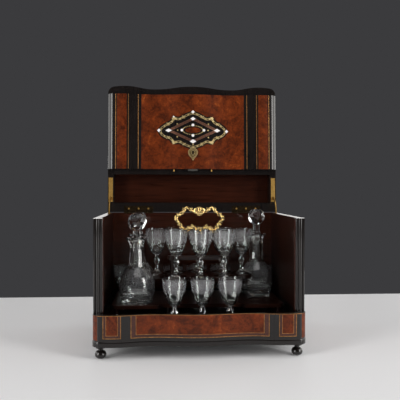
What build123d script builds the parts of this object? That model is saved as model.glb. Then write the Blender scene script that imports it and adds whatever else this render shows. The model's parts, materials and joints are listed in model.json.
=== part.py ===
"""Antique tantalus: a cave a liqueur with a hinged lid, a folding front and a lift-out caddy.

The case stands open. X runs to the right, Y to the back and Z up, in millimetres. The origin lies on
the table, under the middle of the open case's bounding box.
"""
from build123d import *
import os
from math import asin, atan2, cos, degrees, radians, sin, sqrt

# ---------------------------------------------------------------- case
foot_height = 22.6
foot_r = 9.8
foot_inset = 12.0  # foot centre from the side and the back faces
foot_front_inset = 5.0  # foot centre behind the posts' front faces
plinth_height = 10.4
plinth_step = 1.0  # how far the plinth stands proud of the rails
rail_height = 43.0
wall_height = 160.0
wall_thickness = 12.0
floor_thickness = 6.0
post_width = 15.5
post_depth = 10.0
bead_r = 3.2  # the round bead down the middle of each post
groove_width = 1.6

# the arbalete (serpentine) front: crests at the middle and near the ends, dips between them
crest_reach = 17.0  # crests ahead of the posts' front faces
wave = 7.0  # crest to dip
crest_inset = 35.0  # outer crest from the side
dip_share = 0.566  # place of the dip between the middle and the outer crest
corner_r = 14.0

# ---------------------------------------------------------------- lid
lean = 3.0  # degrees past upright when open
lid_gap = 0.4  # between the lid's rims and the walls
lid_rim_height = 26.6
lid_board_thickness = 8.4
lid_board_r = 2.4  # rounding of the board's upper edge
lid_side_rim = 13.0
lid_back_rim = 19.0
lid_front_rim = 12.0
lid_overhang = 3.0

# ---------------------------------------------------------------- front panel, lip and lock
panel_gap = 0.4  # between the panel's back and the posts
panel_rest_gap = 0.6  # between the panel's lower edge and the front rail
lip_height = 11.0
lip_thickness = 4.5
lip_gap = 0.5
lip_end_gap = 1.0
locating_pin_r = 1.2
locating_pin_x = 40.0
locating_pin_proud = 4.5
locating_pin_root = 6.0
locating_pin_setback = 3.4  # behind the lip's front plane, measured forwards
lock_half_width = 17.0
lock_depth = 11.0
lock_height = 32.0
nozzle_half_width = 10.0  # the lock's nose, which drops into the front rail
nozzle_height = 3.5
bolt_half_width = 6.0
bolt_thickness = 2.6
bolt_length = 17.0
bolt_clearance = 0.3
bolt_travel = 5.0
strike_thickness = 1.0
strike_gap = 1.0  # round the nozzle
strike_slot_gap = 1.0  # beside the bolt
bolt_slot_gap = 0.6  # before and behind it
hole_spare = 2.0  # blind holes are deeper than what goes in
strike_pocket_depth = 5.0
inlay_depth = 0.9
escutcheon_proud = 0.4
escutcheon_r = 10.5
escutcheon_tail = 16.0  # from its round centre down to its point
escutcheon_drop = 125.0  # round centre below the panel's hinge
keyhole_r = 1.9
keyhole_slot = 7.5
keyhole_rise = 1.5  # above the escutcheon's round centre
cartouche_gap = 0.5  # between the black ground and the escutcheon
cartouche_half_width = 70.0
cartouche_half_height = 37.0
cartouche_drop = 78.0

# ---------------------------------------------------------------- hinges and stays
hinge_x = 115.0
hinge_length = 62.0
hinge_leaf = 13.8
hinge_leaf_thickness = 1.2
hinge_knuckle_r = 2.5
hinge_pin_r = 1.2
hinge_setback = 1.0  # pin centre behind the case's back face
front_hinge_x = 110.0
front_hinge_length = 44.0
front_hinge_leaf = 10.0
front_hinge_leaf_thickness = 1.0
front_hinge_knuckle_r = 2.0
front_hinge_pin_r = 0.9
pin_clearance = 0.05
knuckle_gap = 0.3
leaf_relief = 0.4
screw_r = 0.95
screw_head_r = 1.9
screw_head_depth = 0.9
screw_length = 8.0
screw_pilot_gap = 0.05
stay_r = 30.0
stay_width = 6.4
stay_thickness = 1.6
stay_clearance = 0.4
stay_turn = 76.0  # degrees that the stays slide in the walls; the lid slides over them for the rest
stay_tail = 4.0  # degrees still held in the wall when open
stay_head = 5.0  # degrees held in the lid when open
stay_slot_end = 2.5  # spare degrees at each slot's end
stay_plate_width = 9.0
stay_plate_thickness = 1.2
stay_plate_lead = 3.4  # plate ahead of the slot
stay_screw_gap = 4.9  # from the slot to the wall plate's screw
stay_wall_plate_border = 2.5  # plate beyond its last screw
stay_lid_screw_gap = 12.4  # from the slot to the lid plate's first screw
stay_lid_screw_step = 20.0
stay_lid_plate_border = 8.0

# ---------------------------------------------------------------- caddy
caddy_gap = 0.3  # under the caddy's lower board
caddy_corner_r = 5.0
caddy_side_gap = 2.5
caddy_board_thickness = 4.2
caddy_front = 3.0  # behind the posts' front faces
caddy_back_gap = 3.0
notch_gap = 3.5  # round the posts, at the lower board's front corners
contents_shift = 6.0  # the glass stands a little right of the middle
tier_rise = 36.5  # from the lower board's top to the decanter board's top
decanter_board_thickness = 6.5
decanter_board_border = 2.0  # beyond the decanters at the sides
decanter_board_lead = 8.0  # ahead of the front decanters
decanter_board_gap = 1.4  # to the lower back row
decanter_lobe_border = 3.0  # round the back decanters
bay_gap = 2.5  # beside the lower front row
shelf_rise = 44.0  # from the decanter board's top to the glass shelf's top
shelf_thickness = 7.0
pillar_r = 4.5
pillar_side_inset = 7.0  # corner pillars from the decanter board's edges
pillar_front_inset = 14.5
pillar_back_inset = 12.0
inner_pillar_x = 62.0
shelf_pillar_x = 60.0
shelf_pillar_front_y = -11.0
shelf_pillar_back_y = 14.0
well_gap = 0.8
well_depth = 1.0
seat_gap = 0.2
lobe_border = 2.9  # shelf beyond a glass's foot
side_lobe_border = 1.1
rail_half_length = 60.0
rail_rise = 35.0  # top of the handle rail above the glass shelf
rail_thickness = 8.0
rail_depth = 10.0
rail_leg = 8.0
stem_r = 3.5
stem_foot_height = 5.0
stem_sink = 1.5  # how far the stem runs up into the handle
handle_tube_r = 3.8
handle_depth = 7.4
handle_corner_r = 8.0
handle_dip = 14.5  # middle of the handle's top, above its centre
handle_shoulder = (24.0, 22.0)
handle_tip = (46.5, 3.0)
handle_hip = (30.0, -19.5)
handle_foot = 23.0
handle_centre_rise = 69.4  # above the rail's top

# ---------------------------------------------------------------- glass
glass_height = 86.4
glass_rim_r = 21.6
glass_foot_r = 19.5
glass_foot_edge = 1.6
glass_foot_rise = 5.0
glass_stem_r = 2.7
glass_stem_foot = 14.0  # where the foot has drawn in to the stem
glass_knop_r = 5.6
glass_knop_half = 5.5
glass_neck_r = 3.2  # where the bowl starts
glass_wall = 1.3
bowl_under = 9.0  # height of the bowl's rounding above its start
bowl_side = 24.0  # where the bowl's straight side starts
cup_floor = 6.0  # glass left under the cup
decanter_r = 32.5
decanter_base_r = 29.0
decanter_ring = 7.0  # height of the foot ring
decanter_belly_from = 14.0
decanter_belly_to = 40.0
decanter_shoulder = 51.0
decanter_neck_foot = 60.0
decanter_neck_from = 72.0
decanter_mouth = 118.0
decanter_flare = 9.0  # height of the flared mouth
decanter_neck_r = 13.0
decanter_mouth_r = 18.6
decanter_bore_r = 7.6
decanter_wall = 3.6
decanter_floor = 9.0
edge_r = 1.5  # rounding of the glass's thick edges
stopper_ball_r = 17.0
stopper_neck_r = 7.0
stopper_rise = 45.0  # top of the ball above the decanter's mouth
stopper_plug = 24.0
stopper_collar = 2.0
stopper_gap = 0.25
back_right_stopper_rise = 6.0  # this one is ground a little larger

# ---------------------------------------------------------------- places of the glasses and decanters
# The case is made round its contents: every row stands off the last one by a named gap. Ys run from
# the handle, backwards.
glass_gap = 1.8  # between neighbouring rims on the shelf
upper_centre_y = 40.0
upper_pair_y = 30.0
upper_side_y = 3.0
lower_gap = 5.8  # between rims in the lower rows
front_row_gap = 4.4  # lower front rims ahead of the shelf
back_row_gap = 6.0  # lower back rims behind the shelf
decanter_front_step = 41.5  # decanters ahead of the side glasses, and behind them
decanter_back_step = 42.0
decanter_gap = 1.84  # between a decanter and the shelf
corner_step = 22.0  # corner glass outside the decanter
corner_gap = 0.5  # between them
front_gap = 10.0  # lower front rims behind the posts' front faces
wall_gap = 1.4  # between the corner glasses' rims and the walls

# ---------------------------------------------------------------- heights and depths
glass_pitch = 2 * glass_rim_r + glass_gap
lobe_r = glass_foot_r + lobe_border
side_lobe_r = glass_foot_r + side_lobe_border
upper_side_x = glass_pitch + sqrt(glass_pitch**2 - (upper_pair_y - upper_side_y) ** 2)
lower_row_x = 2 * glass_rim_r + lower_gap
lower_front_y = -(upper_centre_y + lobe_r + front_row_gap + glass_rim_r)
lower_back_y = upper_centre_y + lobe_r + back_row_gap + glass_rim_r
decanter_front_y = upper_side_y - decanter_front_step
decanter_back_y = upper_side_y + decanter_back_step
decanter_reach = side_lobe_r + decanter_r + decanter_gap
decanter_x = upper_side_x + sqrt(decanter_reach**2 - min(decanter_front_step, decanter_back_step) ** 2)
corner_reach = glass_rim_r + max(decanter_r, decanter_base_r + decanter_lobe_border) + corner_gap
corner_glass_x = contents_shift + decanter_x + corner_step
corner_glass_y = decanter_back_y + sqrt(corner_reach**2 - corner_step**2)

inner_half = corner_glass_x + glass_rim_r + wall_gap
half_width = inner_half + wall_thickness
case_width = 2 * half_width
contents_y = front_gap + glass_rim_r - lower_front_y
case_depth = contents_y + corner_glass_y + glass_rim_r + wall_gap + wall_thickness
rails_z = foot_height + plinth_height
walls_z = rails_z + rail_height
top_z = walls_z + wall_height
hinge_z = top_z + lid_gap / 2
lid_top_z = lid_gap / 2 + lid_rim_height + lid_board_thickness  # above the hinge, lid shut

panel_clear = panel_gap / 2
lid_reach = case_depth + hinge_setback + panel_clear  # lid hinge to front hinge
lid_nose = lid_reach + crest_reach - panel_clear + lid_overhang

front_reach = crest_reach + plinth_step
back_reach = (
    case_depth
    + hinge_setback
    + (lid_nose - lid_board_r) * sin(radians(lean))
    + (lid_top_z - lid_board_r) * cos(radians(lean))
    + lid_board_r
)
posts_y = (front_reach - back_reach) / 2
back_y = posts_y + case_depth
hinge_y = back_y + hinge_setback
crest_y = posts_y - crest_reach
rail_inner_y = posts_y - panel_gap - lip_thickness - lip_gap
floor_z = rails_z + floor_thickness

lid_plane = Plane(
    origin=(0, hinge_y, hinge_z),
    x_dir=(1, 0, 0),
    z_dir=(0, cos(radians(lean)), -sin(radians(lean))),
)
panel_plane = Plane(
    origin=lid_plane.from_local_coords(Vector(0, -lid_reach, 0)),
    x_dir=(1, 0, 0),
    z_dir=(0, sin(radians(lean)), cos(radians(lean))),
)
hinge_plane = Plane(origin=(0, hinge_y, hinge_z))

os.makedirs("parts", exist_ok=True)


def write(part, name):
    """Label a finished piece and write it."""
    part.label = name
    export_step(part, f"parts/{name}.step")


def front_line(crest, grow=0.0):
    """The serpentine front from left to right, as arcs; crest is the crests' y, grow moves it out."""
    crest_x = half_width - crest_inset
    dip_x = crest_x * dip_share
    dip = crest + wave
    r_mid = ((dip_x / 2) ** 2 + (wave / 2) ** 2) / wave
    half_gap = (crest_x - dip_x) / 2
    r_end = (half_gap**2 + (wave / 2) ** 2) / wave
    turn_mid = degrees(asin(dip_x / 2 / r_mid))
    turn_end = degrees(asin(half_gap / r_end))
    corner_x = half_width - corner_r
    corner_y = crest + r_end - sqrt((r_end - corner_r) ** 2 - (corner_x - crest_x) ** 2)
    meet = degrees(atan2(corner_y - (crest + r_end), corner_x - crest_x))
    arcs = [
        (0, crest + r_mid, r_mid + grow, -90, -90 + turn_mid),
        (dip_x, dip - r_mid, r_mid - grow, 90 + turn_mid, 90),
        (dip_x, dip - r_end, r_end - grow, 90, 90 - turn_end),
        (crest_x, crest + r_end, r_end + grow, -90 - turn_end, meet),
        (corner_x, corner_y, corner_r + grow, meet, 0),
    ]
    with BuildLine() as line:
        for side in (-1, 1):
            for x, y, r, start, end in arcs:
                angles = [radians(a) for a in (start, (start + end) / 2, end)]
                points = [(side * (x + r * cos(a)), y + r * sin(a)) for a in angles]
                ThreePointArc(*points)
    return line.line, corner_y


def outline(crest, back, grow=0.0):
    """A board's plan: serpentine front, straight sides and back."""
    line, corner = front_line(crest, grow)
    edge = half_width + grow
    with BuildSketch() as plan:
        with BuildLine():
            add(line)
            Polyline((-edge, corner), (-edge, back), (edge, back), (edge, corner))
        make_face()
    return plan.sketch


def sector(r_in, r_out, start, end):
    """A ring sector; angles in degrees from the plane's x axis."""
    with BuildSketch() as ring:
        with BuildLine():
            outer = CenterArc((0, 0), r_out, start, end - start)
            inner = CenterArc((0, 0), r_in, start, end - start)
            Line(outer @ 0, inner @ 0)
            Line(outer @ 1, inner @ 1)
        make_face()
    return ring.sketch


def screw_rows(x_middle, length, across, count):
    """Screw places along a leaf, in the leaf's own plane."""
    step = length / count
    return [(x_middle + (i - (count - 1) / 2) * step, across) for i in range(count)]


hinge_screws = [
    place
    for side in (-1, 1)
    for place in screw_rows(side * hinge_x, hinge_length, -(hinge_leaf + hinge_knuckle_r) / 2, 3)
]
front_hinge_screws = [
    place
    for side in (-1, 1)
    for place in screw_rows(
        side * front_hinge_x, front_hinge_length,
        -(front_hinge_leaf + front_hinge_knuckle_r) / 2 - knuckle_gap, 2,
    )
]
stay_x = half_width - wall_thickness / 2
slot_in_r = stay_r - stay_width / 2 - stay_clearance
slot_out_r = stay_r + stay_width / 2 + stay_clearance
stay_plate_from = slot_in_r - stay_plate_lead
wall_screw_y = slot_out_r + stay_screw_gap
lid_screw_y = slot_out_r + stay_lid_screw_gap
wall_plate_screws = [(side * stay_x, -wall_screw_y) for side in (-1, 1)]
stay_screws = [
    (side * stay_x, -y) for side in (-1, 1) for y in (lid_screw_y, lid_screw_y + stay_lid_screw_step)
]


def leaf_plates(plane, x_middle, length, width, thickness, clear, relief_r=0.0):
    """Plain plates for a pair of hinge leaves, from the knuckle's relief, if any, to the leaf's edge."""
    with BuildPart() as pocket:
        with BuildSketch(plane.offset(clear)):
            with Locations(*[(side * x_middle, -(width + relief_r) / 2) for side in (-1, 1)]):
                Rectangle(length, width - relief_r)
        extrude(amount=thickness)
    return pocket.part


def screw_holes(plane, places, clear, r):
    """Straight holes under a plate at each screw place."""
    with BuildPart() as holes:
        with BuildSketch(plane.offset(clear)):
            with Locations(*places):
                Circle(r)
        extrude(amount=screw_length + screw_pilot_gap)
    return holes.part


def screws(plane, places, clear):
    """Countersunk screws, flush with the plate's face."""
    with BuildPart() as group:
        with BuildSketch(plane.offset(clear)):
            with Locations(*places):
                Circle(screw_r)
        extrude(amount=screw_length)
        for x, y in places:
            with BuildSketch(plane.offset(clear)) as face:
                with Locations((x, y)):
                    Circle(screw_head_r)
            with BuildSketch(plane.offset(clear + screw_head_depth)) as neck:
                with Locations((x, y)):
                    Circle(screw_r)
            loft(sections=[face.sketch, neck.sketch])
    return group.part


def countersinks(plane, places, clear, thickness):
    """What the screws take out of a leaf."""
    with BuildPart() as group:
        for x, y in places:
            with BuildSketch(plane.offset(clear)) as face:
                with Locations((x, y)):
                    Circle(screw_head_r + screw_pilot_gap)
            with BuildSketch(plane.offset(clear + screw_head_depth)) as neck:
                with Locations((x, y)):
                    Circle(screw_r + screw_pilot_gap)
            loft(sections=[face.sketch, neck.sketch])
            with BuildSketch(plane.offset(clear)):
                with Locations((x, y)):
                    Circle(screw_r + screw_pilot_gap)
            extrude(amount=thickness)
    return group.part


def hinge_leaves(plane, x_middle, length, width, thickness, clear, knuckle_r, pin_r, count, own, places):
    """A pair of leaves; own lists which of the count knuckles they carry."""
    step = length / count
    relief_r = knuckle_r + leaf_relief
    with BuildPart() as leaves:
        add(leaf_plates(plane, x_middle, length, width, thickness, clear, relief_r))
        for side in (-1, 1):
            for k in own:
                x = side * x_middle + (k - (count - 1) / 2) * step
                half = step / 2 - knuckle_gap / 2
                with BuildSketch(plane.offset(clear)):
                    with Locations((x, -relief_r / 2 - pin_r / 2)):
                        Rectangle(2 * half, relief_r - pin_r)
                extrude(amount=thickness)
                barrel = Plane(origin=plane.from_local_coords(Vector(x - half, 0, 0)), z_dir=plane.x_dir)
                with BuildSketch(barrel):
                    Circle(knuckle_r)
                extrude(amount=2 * half)
        for side in (-1, 1):
            end = plane.from_local_coords(Vector(side * x_middle - length / 2 - 1, 0, 0))
            with BuildSketch(Plane(origin=end, z_dir=plane.x_dir)):
                Circle(pin_r + pin_clearance)
            extrude(amount=length + 2, mode=Mode.SUBTRACT)
        if places:
            add(countersinks(plane, places, clear, thickness), mode=Mode.SUBTRACT)
    return leaves.part


def pins(plane, x_middle, length, pin_r):
    """A pair of hinge pins."""
    with BuildPart() as pair:
        for side in (-1, 1):
            end = plane.from_local_coords(Vector(side * x_middle - length / 2, 0, 0))
            with BuildSketch(Plane(origin=end, z_dir=plane.x_dir)):
                Circle(pin_r)
            extrude(amount=length)
    return pair.part


def barrel_relief(plane, x_middle, length, relief_r):
    """Round clearance for a pair of barrels."""
    with BuildPart() as relief:
        for side in (-1, 1):
            end = plane.from_local_coords(Vector(side * x_middle - length / 2 - knuckle_gap, 0, 0))
            with BuildSketch(Plane(origin=end, z_dir=plane.x_dir)):
                Circle(relief_r)
            extrude(amount=length + 2 * knuckle_gap)
    return relief.part


# planes of the four pairs of leaves: each leaf runs along -y from the pin and thickens along +z
case_leaf_plane = Plane(origin=hinge_plane.origin, x_dir=(-1, 0, 0), z_dir=(0, 0, -1))
lid_leaf_plane = lid_plane
front_lid_leaf_plane = Plane(
    origin=panel_plane.origin, x_dir=(-1, 0, 0), z_dir=lid_plane.z_dir
)
front_panel_leaf_plane = Plane(
    origin=panel_plane.origin, x_dir=(1, 0, 0), z_dir=-panel_plane.y_dir
)
front_relief_r = front_hinge_knuckle_r + leaf_relief
leaf_clear = lid_gap / 2
pilot_r = screw_r + screw_pilot_gap


def stay_plane(x):
    """Plane of a quadrant stay: x axis forwards, y axis up, from the lid's hinge."""
    return Plane(origin=(x, hinge_y, hinge_z), x_dir=(0, -1, 0), z_dir=(-1, 0, 0))


lid_turn = 90 + lean
wall_slot_end = -(stay_tail + stay_turn + stay_slot_end)
lid_slot_end = lid_turn + stay_head + lid_turn - stay_turn + stay_slot_end
slot_half = stay_thickness / 2 + stay_clearance
slot_mouth = 8.0  # degrees that a slot runs out past its own face


def stay_slots(start, end):
    """The curved slots that the quadrant stays slide in, on both sides."""
    with BuildPart() as slots:
        for side in (-1, 1):
            with BuildSketch(stay_plane(side * stay_x)):
                add(sector(slot_in_r, slot_out_r, start, end))
            extrude(amount=slot_half, both=True)
    return slots.part


def stay_plates(plane, direction, start, end):
    """Flat brass plates round the slots; direction is which way they run from the hinge."""
    with BuildPart() as plates:
        with BuildSketch(plane.offset(leaf_clear)):
            with Locations(*[(side * stay_x, direction * (start + end) / 2) for side in (-1, 1)]):
                Rectangle(stay_plate_width, end - start)
        extrude(amount=stay_plate_thickness)
    return plates.part


wall_slots = stay_slots(wall_slot_end, slot_mouth)
lid_slots = stay_slots(lid_turn - slot_mouth, lid_slot_end)
wall_plate_blank = stay_plates(
    case_leaf_plane, -1, stay_plate_from, wall_screw_y + stay_wall_plate_border
)
lid_plate_blank = stay_plates(
    lid_plane, -1, stay_plate_from, lid_screw_y + stay_lid_screw_step + stay_lid_plate_border
)


# ================================================================ feet, plinth and rails
def foot_profile():
    """Half outline of a turned foot."""
    neck_r = 0.42 * foot_r
    collar_r = 0.9 * foot_r
    flat_r = 0.45 * foot_r
    ball_top = 0.6 * foot_height
    collar_z = 0.76 * foot_height
    with BuildSketch(Plane.XZ) as half:
        with BuildLine():
            base = Line((0, 0), (flat_r, 0))
            ball = ThreePointArc(base @ 1, (foot_r, ball_top / 2), (neck_r, ball_top))
            neck = Line(ball @ 1, (neck_r, collar_z))
            step = Line(neck @ 1, (collar_r, collar_z + 1.5))
            Polyline(step @ 1, (collar_r, foot_height), (0, foot_height), (0, 0))
        make_face()
    return half.sketch


foot_places = [
    (side * (half_width - foot_inset), y)
    for side in (-1, 1)
    for y in (posts_y + foot_front_inset, back_y - foot_inset)
]
with BuildPart() as foot:
    add(foot_profile())
    revolve(axis=Axis.Z)
with BuildPart() as feet:
    with Locations(*foot_places):
        add(foot.part)
write(feet.part, "feet")

with BuildPart() as plinth:
    with BuildSketch(Plane.XY.offset(foot_height)):
        add(outline(crest_y, back_y, plinth_step))
    extrude(amount=plinth_height)
write(plinth.part, "plinth_board")

locating_y = posts_y - panel_gap - lip_thickness - locating_pin_setback
with BuildPart() as front_rail:
    with BuildSketch(Plane.XY.offset(rails_z)):
        add(outline(crest_y, posts_y))
        with Locations((0, (rail_inner_y + posts_y) / 2)):
            Rectangle(2 * inner_half, posts_y - rail_inner_y, mode=Mode.SUBTRACT)
    extrude(amount=rail_height)
    with BuildSketch(Plane.XY.offset(walls_z)):
        with Locations(*[(side * locating_pin_x, locating_y) for side in (-1, 1)]):
            Circle(locating_pin_r + leaf_relief)
    extrude(amount=-(locating_pin_proud + hole_spare), mode=Mode.SUBTRACT)
    strike_half = nozzle_half_width + strike_gap
    strike_front = posts_y - panel_clear - lock_depth - strike_gap
    with BuildSketch(Plane.XY.offset(walls_z)):
        with Locations((0, (strike_front + rail_inner_y) / 2)):
            Rectangle(2 * strike_half, rail_inner_y - strike_front)
    extrude(amount=-strike_pocket_depth, mode=Mode.SUBTRACT)
    bolt_y = posts_y - panel_clear - lock_depth + bolt_thickness
    bolt_slot = (2 * (bolt_half_width + strike_slot_gap), bolt_thickness + 2 * bolt_slot_gap)
    with BuildSketch(Plane.XY.offset(walls_z)):
        with Locations((0, bolt_y)):
            Rectangle(*bolt_slot)
    extrude(amount=-(strike_pocket_depth + bolt_travel + hole_spare), mode=Mode.SUBTRACT)
write(front_rail.part, "base_front_rail")

with BuildPart() as strike:
    with BuildSketch(Plane.XY.offset(walls_z - strike_pocket_depth)):
        with Locations((0, (strike_front + rail_inner_y) / 2)):
            Rectangle(2 * strike_half, rail_inner_y - strike_front)
        with Locations((0, bolt_y)):
            Rectangle(*bolt_slot, mode=Mode.SUBTRACT)
    extrude(amount=strike_thickness)
write(strike.part, "strike_plate")

with BuildPart() as rails:
    with BuildSketch(Plane.XY.offset(rails_z)):
        for side in (-1, 1):
            with Locations((side * (half_width - wall_thickness / 2), (posts_y + back_y) / 2)):
                Rectangle(wall_thickness, case_depth)
        with Locations((0, back_y - wall_thickness / 2)):
            Rectangle(2 * inner_half, wall_thickness)
    extrude(amount=rail_height)
write(rails.part, "base_rails")

with BuildPart() as floor_board:
    with BuildSketch(Plane.XY.offset(rails_z)):
        with Locations((0, (rail_inner_y + back_y - wall_thickness) / 2)):
            Rectangle(2 * inner_half, back_y - wall_thickness - rail_inner_y)
    extrude(amount=floor_thickness)
write(floor_board.part, "case_floor")

# ================================================================ walls and posts
with BuildPart() as side_walls:
    with BuildSketch(Plane.XY.offset(walls_z)):
        for side in (-1, 1):
            with Locations((side * stay_x, (posts_y + post_depth + back_y) / 2)):
                Rectangle(wall_thickness, case_depth - post_depth)
    extrude(amount=wall_height)
    add(wall_slots, mode=Mode.SUBTRACT)
    add(wall_plate_blank, mode=Mode.SUBTRACT)
    add(screw_holes(case_leaf_plane, wall_plate_screws, leaf_clear, pilot_r), mode=Mode.SUBTRACT)
write(side_walls.part, "side_walls")

case_pocket = leaf_plates(
    case_leaf_plane, hinge_x, hinge_length, hinge_leaf, hinge_leaf_thickness, leaf_clear
)
lid_barrels = barrel_relief(hinge_plane, hinge_x, hinge_length, hinge_knuckle_r + leaf_relief)
with BuildPart() as back_wall:
    with BuildSketch(Plane.XY.offset(walls_z)):
        with Locations((0, back_y - wall_thickness / 2)):
            Rectangle(2 * inner_half, wall_thickness)
    extrude(amount=wall_height)
    add(case_pocket, mode=Mode.SUBTRACT)
    add(lid_barrels, mode=Mode.SUBTRACT)
    add(screw_holes(case_leaf_plane, hinge_screws, leaf_clear, pilot_r), mode=Mode.SUBTRACT)
write(back_wall.part, "back_wall")

with BuildPart() as posts:
    with BuildSketch(Plane.XY.offset(walls_z)):
        for side in (-1, 1):
            x = side * (half_width - post_width / 2)
            with Locations((x, posts_y + post_depth / 2)):
                Rectangle(post_width, post_depth)
            grooves = [(x + k * (bead_r + groove_width / 2), posts_y + groove_width / 2) for k in (-1, 1)]
            with Locations(*grooves):
                Rectangle(groove_width, groove_width, mode=Mode.SUBTRACT)
    extrude(amount=wall_height)
write(posts.part, "front_posts")

# ================================================================ hinges and stays
case_leaves = hinge_leaves(
    case_leaf_plane, hinge_x, hinge_length, hinge_leaf, hinge_leaf_thickness, leaf_clear,
    hinge_knuckle_r, hinge_pin_r, 5, (0, 2, 4), hinge_screws,
)
write(case_leaves, "case_hinge_leaves")
lid_leaves = hinge_leaves(
    lid_leaf_plane, hinge_x, hinge_length, hinge_leaf, hinge_leaf_thickness, leaf_clear,
    hinge_knuckle_r, hinge_pin_r, 5, (1, 3), hinge_screws,
)
write(lid_leaves, "lid_hinge_leaves")
front_lid_leaves = hinge_leaves(
    front_lid_leaf_plane, front_hinge_x, front_hinge_length, front_hinge_leaf, front_hinge_leaf_thickness,
    leaf_clear, front_hinge_knuckle_r, front_hinge_pin_r, 3, (1,), front_hinge_screws,
)
write(front_lid_leaves, "front_hinge_lid_leaves")
front_panel_leaves = hinge_leaves(
    front_panel_leaf_plane, front_hinge_x, front_hinge_length, front_hinge_leaf, front_hinge_leaf_thickness,
    panel_clear, front_hinge_knuckle_r, front_hinge_pin_r, 3, (0, 2), None,
)
write(front_panel_leaves, "front_hinge_panel_leaves")

with BuildPart() as hinge_pins:
    add(pins(hinge_plane, hinge_x, hinge_length, hinge_pin_r))
    add(pins(panel_plane, front_hinge_x, front_hinge_length, front_hinge_pin_r))
write(hinge_pins.part, "hinge_pins")

with BuildPart() as case_screws:
    add(screws(case_leaf_plane, hinge_screws, leaf_clear))
    add(screws(case_leaf_plane, wall_plate_screws, leaf_clear))
write(case_screws.part, "case_screws")

with BuildPart() as lid_screws:
    add(screws(lid_leaf_plane, hinge_screws, leaf_clear))
    add(screws(lid_leaf_plane, stay_screws, leaf_clear))
    add(screws(front_lid_leaf_plane, front_hinge_screws, leaf_clear))
write(lid_screws.part, "lid_screws")

with BuildPart() as wall_plates:
    add(wall_plate_blank)
    add(wall_slots, mode=Mode.SUBTRACT)
    sinks = countersinks(case_leaf_plane, wall_plate_screws, leaf_clear, stay_plate_thickness)
    add(sinks, mode=Mode.SUBTRACT)
write(wall_plates.part, "stay_wall_plates")

with BuildPart() as lid_plates:
    add(lid_plate_blank)
    add(lid_slots, mode=Mode.SUBTRACT)
    add(countersinks(lid_plane, stay_screws, leaf_clear, stay_plate_thickness), mode=Mode.SUBTRACT)
write(lid_plates.part, "stay_lid_plates")

for side, name in ((-1, "stay_link_left"), (1, "stay_link_right")):
    with BuildPart() as link:
        with BuildSketch(stay_plane(side * stay_x)):
            add(sector(stay_r - stay_width / 2, stay_r + stay_width / 2, -stay_tail, lid_turn + stay_head))
        extrude(amount=stay_thickness / 2, both=True)
    write(link.part, name)

# ================================================================ lid
rim_z = lid_gap / 2
lid_back = -hinge_setback
lid_front_back = -lid_reach + lid_front_rim
with BuildPart() as lid_back_rim_part:
    with BuildSketch(lid_plane.offset(rim_z)):
        with Locations((0, lid_back - lid_back_rim / 2)):
            Rectangle(case_width, lid_back_rim)
    extrude(amount=lid_rim_height)
    lid_pocket = leaf_plates(
        lid_plane, hinge_x, hinge_length, hinge_leaf, hinge_leaf_thickness, leaf_clear
    )
    add(lid_pocket, mode=Mode.SUBTRACT)
    add(lid_barrels, mode=Mode.SUBTRACT)
    add(screw_holes(lid_plane, hinge_screws, leaf_clear, pilot_r), mode=Mode.SUBTRACT)
write(lid_back_rim_part.part, "lid_back_rim")

side_rim_back = lid_back - lid_back_rim
with BuildPart() as lid_side_rims:
    with BuildSketch(lid_plane.offset(rim_z)):
        for side in (-1, 1):
            with Locations((side * (half_width - lid_side_rim / 2), (side_rim_back + lid_front_back) / 2)):
                Rectangle(lid_side_rim, side_rim_back - lid_front_back)
    extrude(amount=lid_rim_height)
    add(lid_slots, mode=Mode.SUBTRACT)
    add(lid_plate_blank, mode=Mode.SUBTRACT)
    add(screw_holes(lid_plane, stay_screws, leaf_clear, pilot_r), mode=Mode.SUBTRACT)
write(lid_side_rims.part, "lid_side_rims")

lid_crest = -lid_nose
front_lid_pocket = leaf_plates(
    front_lid_leaf_plane, front_hinge_x, front_hinge_length, front_hinge_leaf, front_hinge_leaf_thickness,
    leaf_clear, front_relief_r,
)
front_barrels = barrel_relief(panel_plane, front_hinge_x, front_hinge_length, front_relief_r)
front_lid_tongues = leaf_plates(
    front_lid_leaf_plane, front_hinge_x, front_hinge_length, front_relief_r, front_hinge_leaf_thickness,
    leaf_clear,
)
front_pilots = screw_holes(front_lid_leaf_plane, front_hinge_screws, leaf_clear, pilot_r)
with BuildPart() as lid_front:
    with BuildSketch(lid_plane.offset(rim_z)):
        add(outline(lid_crest, lid_front_back))
    extrude(amount=lid_rim_height)
    for cut in (front_lid_pocket, front_barrels, front_lid_tongues, front_pilots):
        add(cut, mode=Mode.SUBTRACT)
write(lid_front.part, "lid_front")

with BuildPart() as lid_board:
    with BuildSketch(lid_plane.offset(rim_z + lid_rim_height)):
        add(outline(lid_crest, lid_back))
    extrude(amount=lid_board_thickness)
    top_face = lid_board.faces().sort_by(Axis(lid_plane.origin, lid_plane.z_dir))[-1]
    fillet(top_face.edges(), radius=lid_board_r)
write(lid_board.part, "lid_top_board")

# ================================================================ front panel
panel_crest = -(crest_reach - panel_clear)
panel_bottom = -(hinge_z - walls_z - panel_rest_gap)
panel_back = -panel_clear
front_plane = Plane(origin=panel_plane.origin, x_dir=(1, 0, 0), z_dir=-panel_plane.y_dir)
pin_spots = [
    (side * locating_pin_x, panel_back - lip_thickness - locating_pin_setback) for side in (-1, 1)
]


def drop_shape():
    """The escutcheon: a round top drawn down to a point."""
    tangent = asin(escutcheon_r / escutcheon_tail)
    touch = (escutcheon_r * cos(tangent), -escutcheon_r * sin(tangent))
    with BuildSketch() as drop:
        with Locations((0, -escutcheon_drop)):
            Circle(escutcheon_r)
            Polygon((-touch[0], touch[1]), (0, -escutcheon_tail), touch, align=None)
    return drop.sketch


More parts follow.
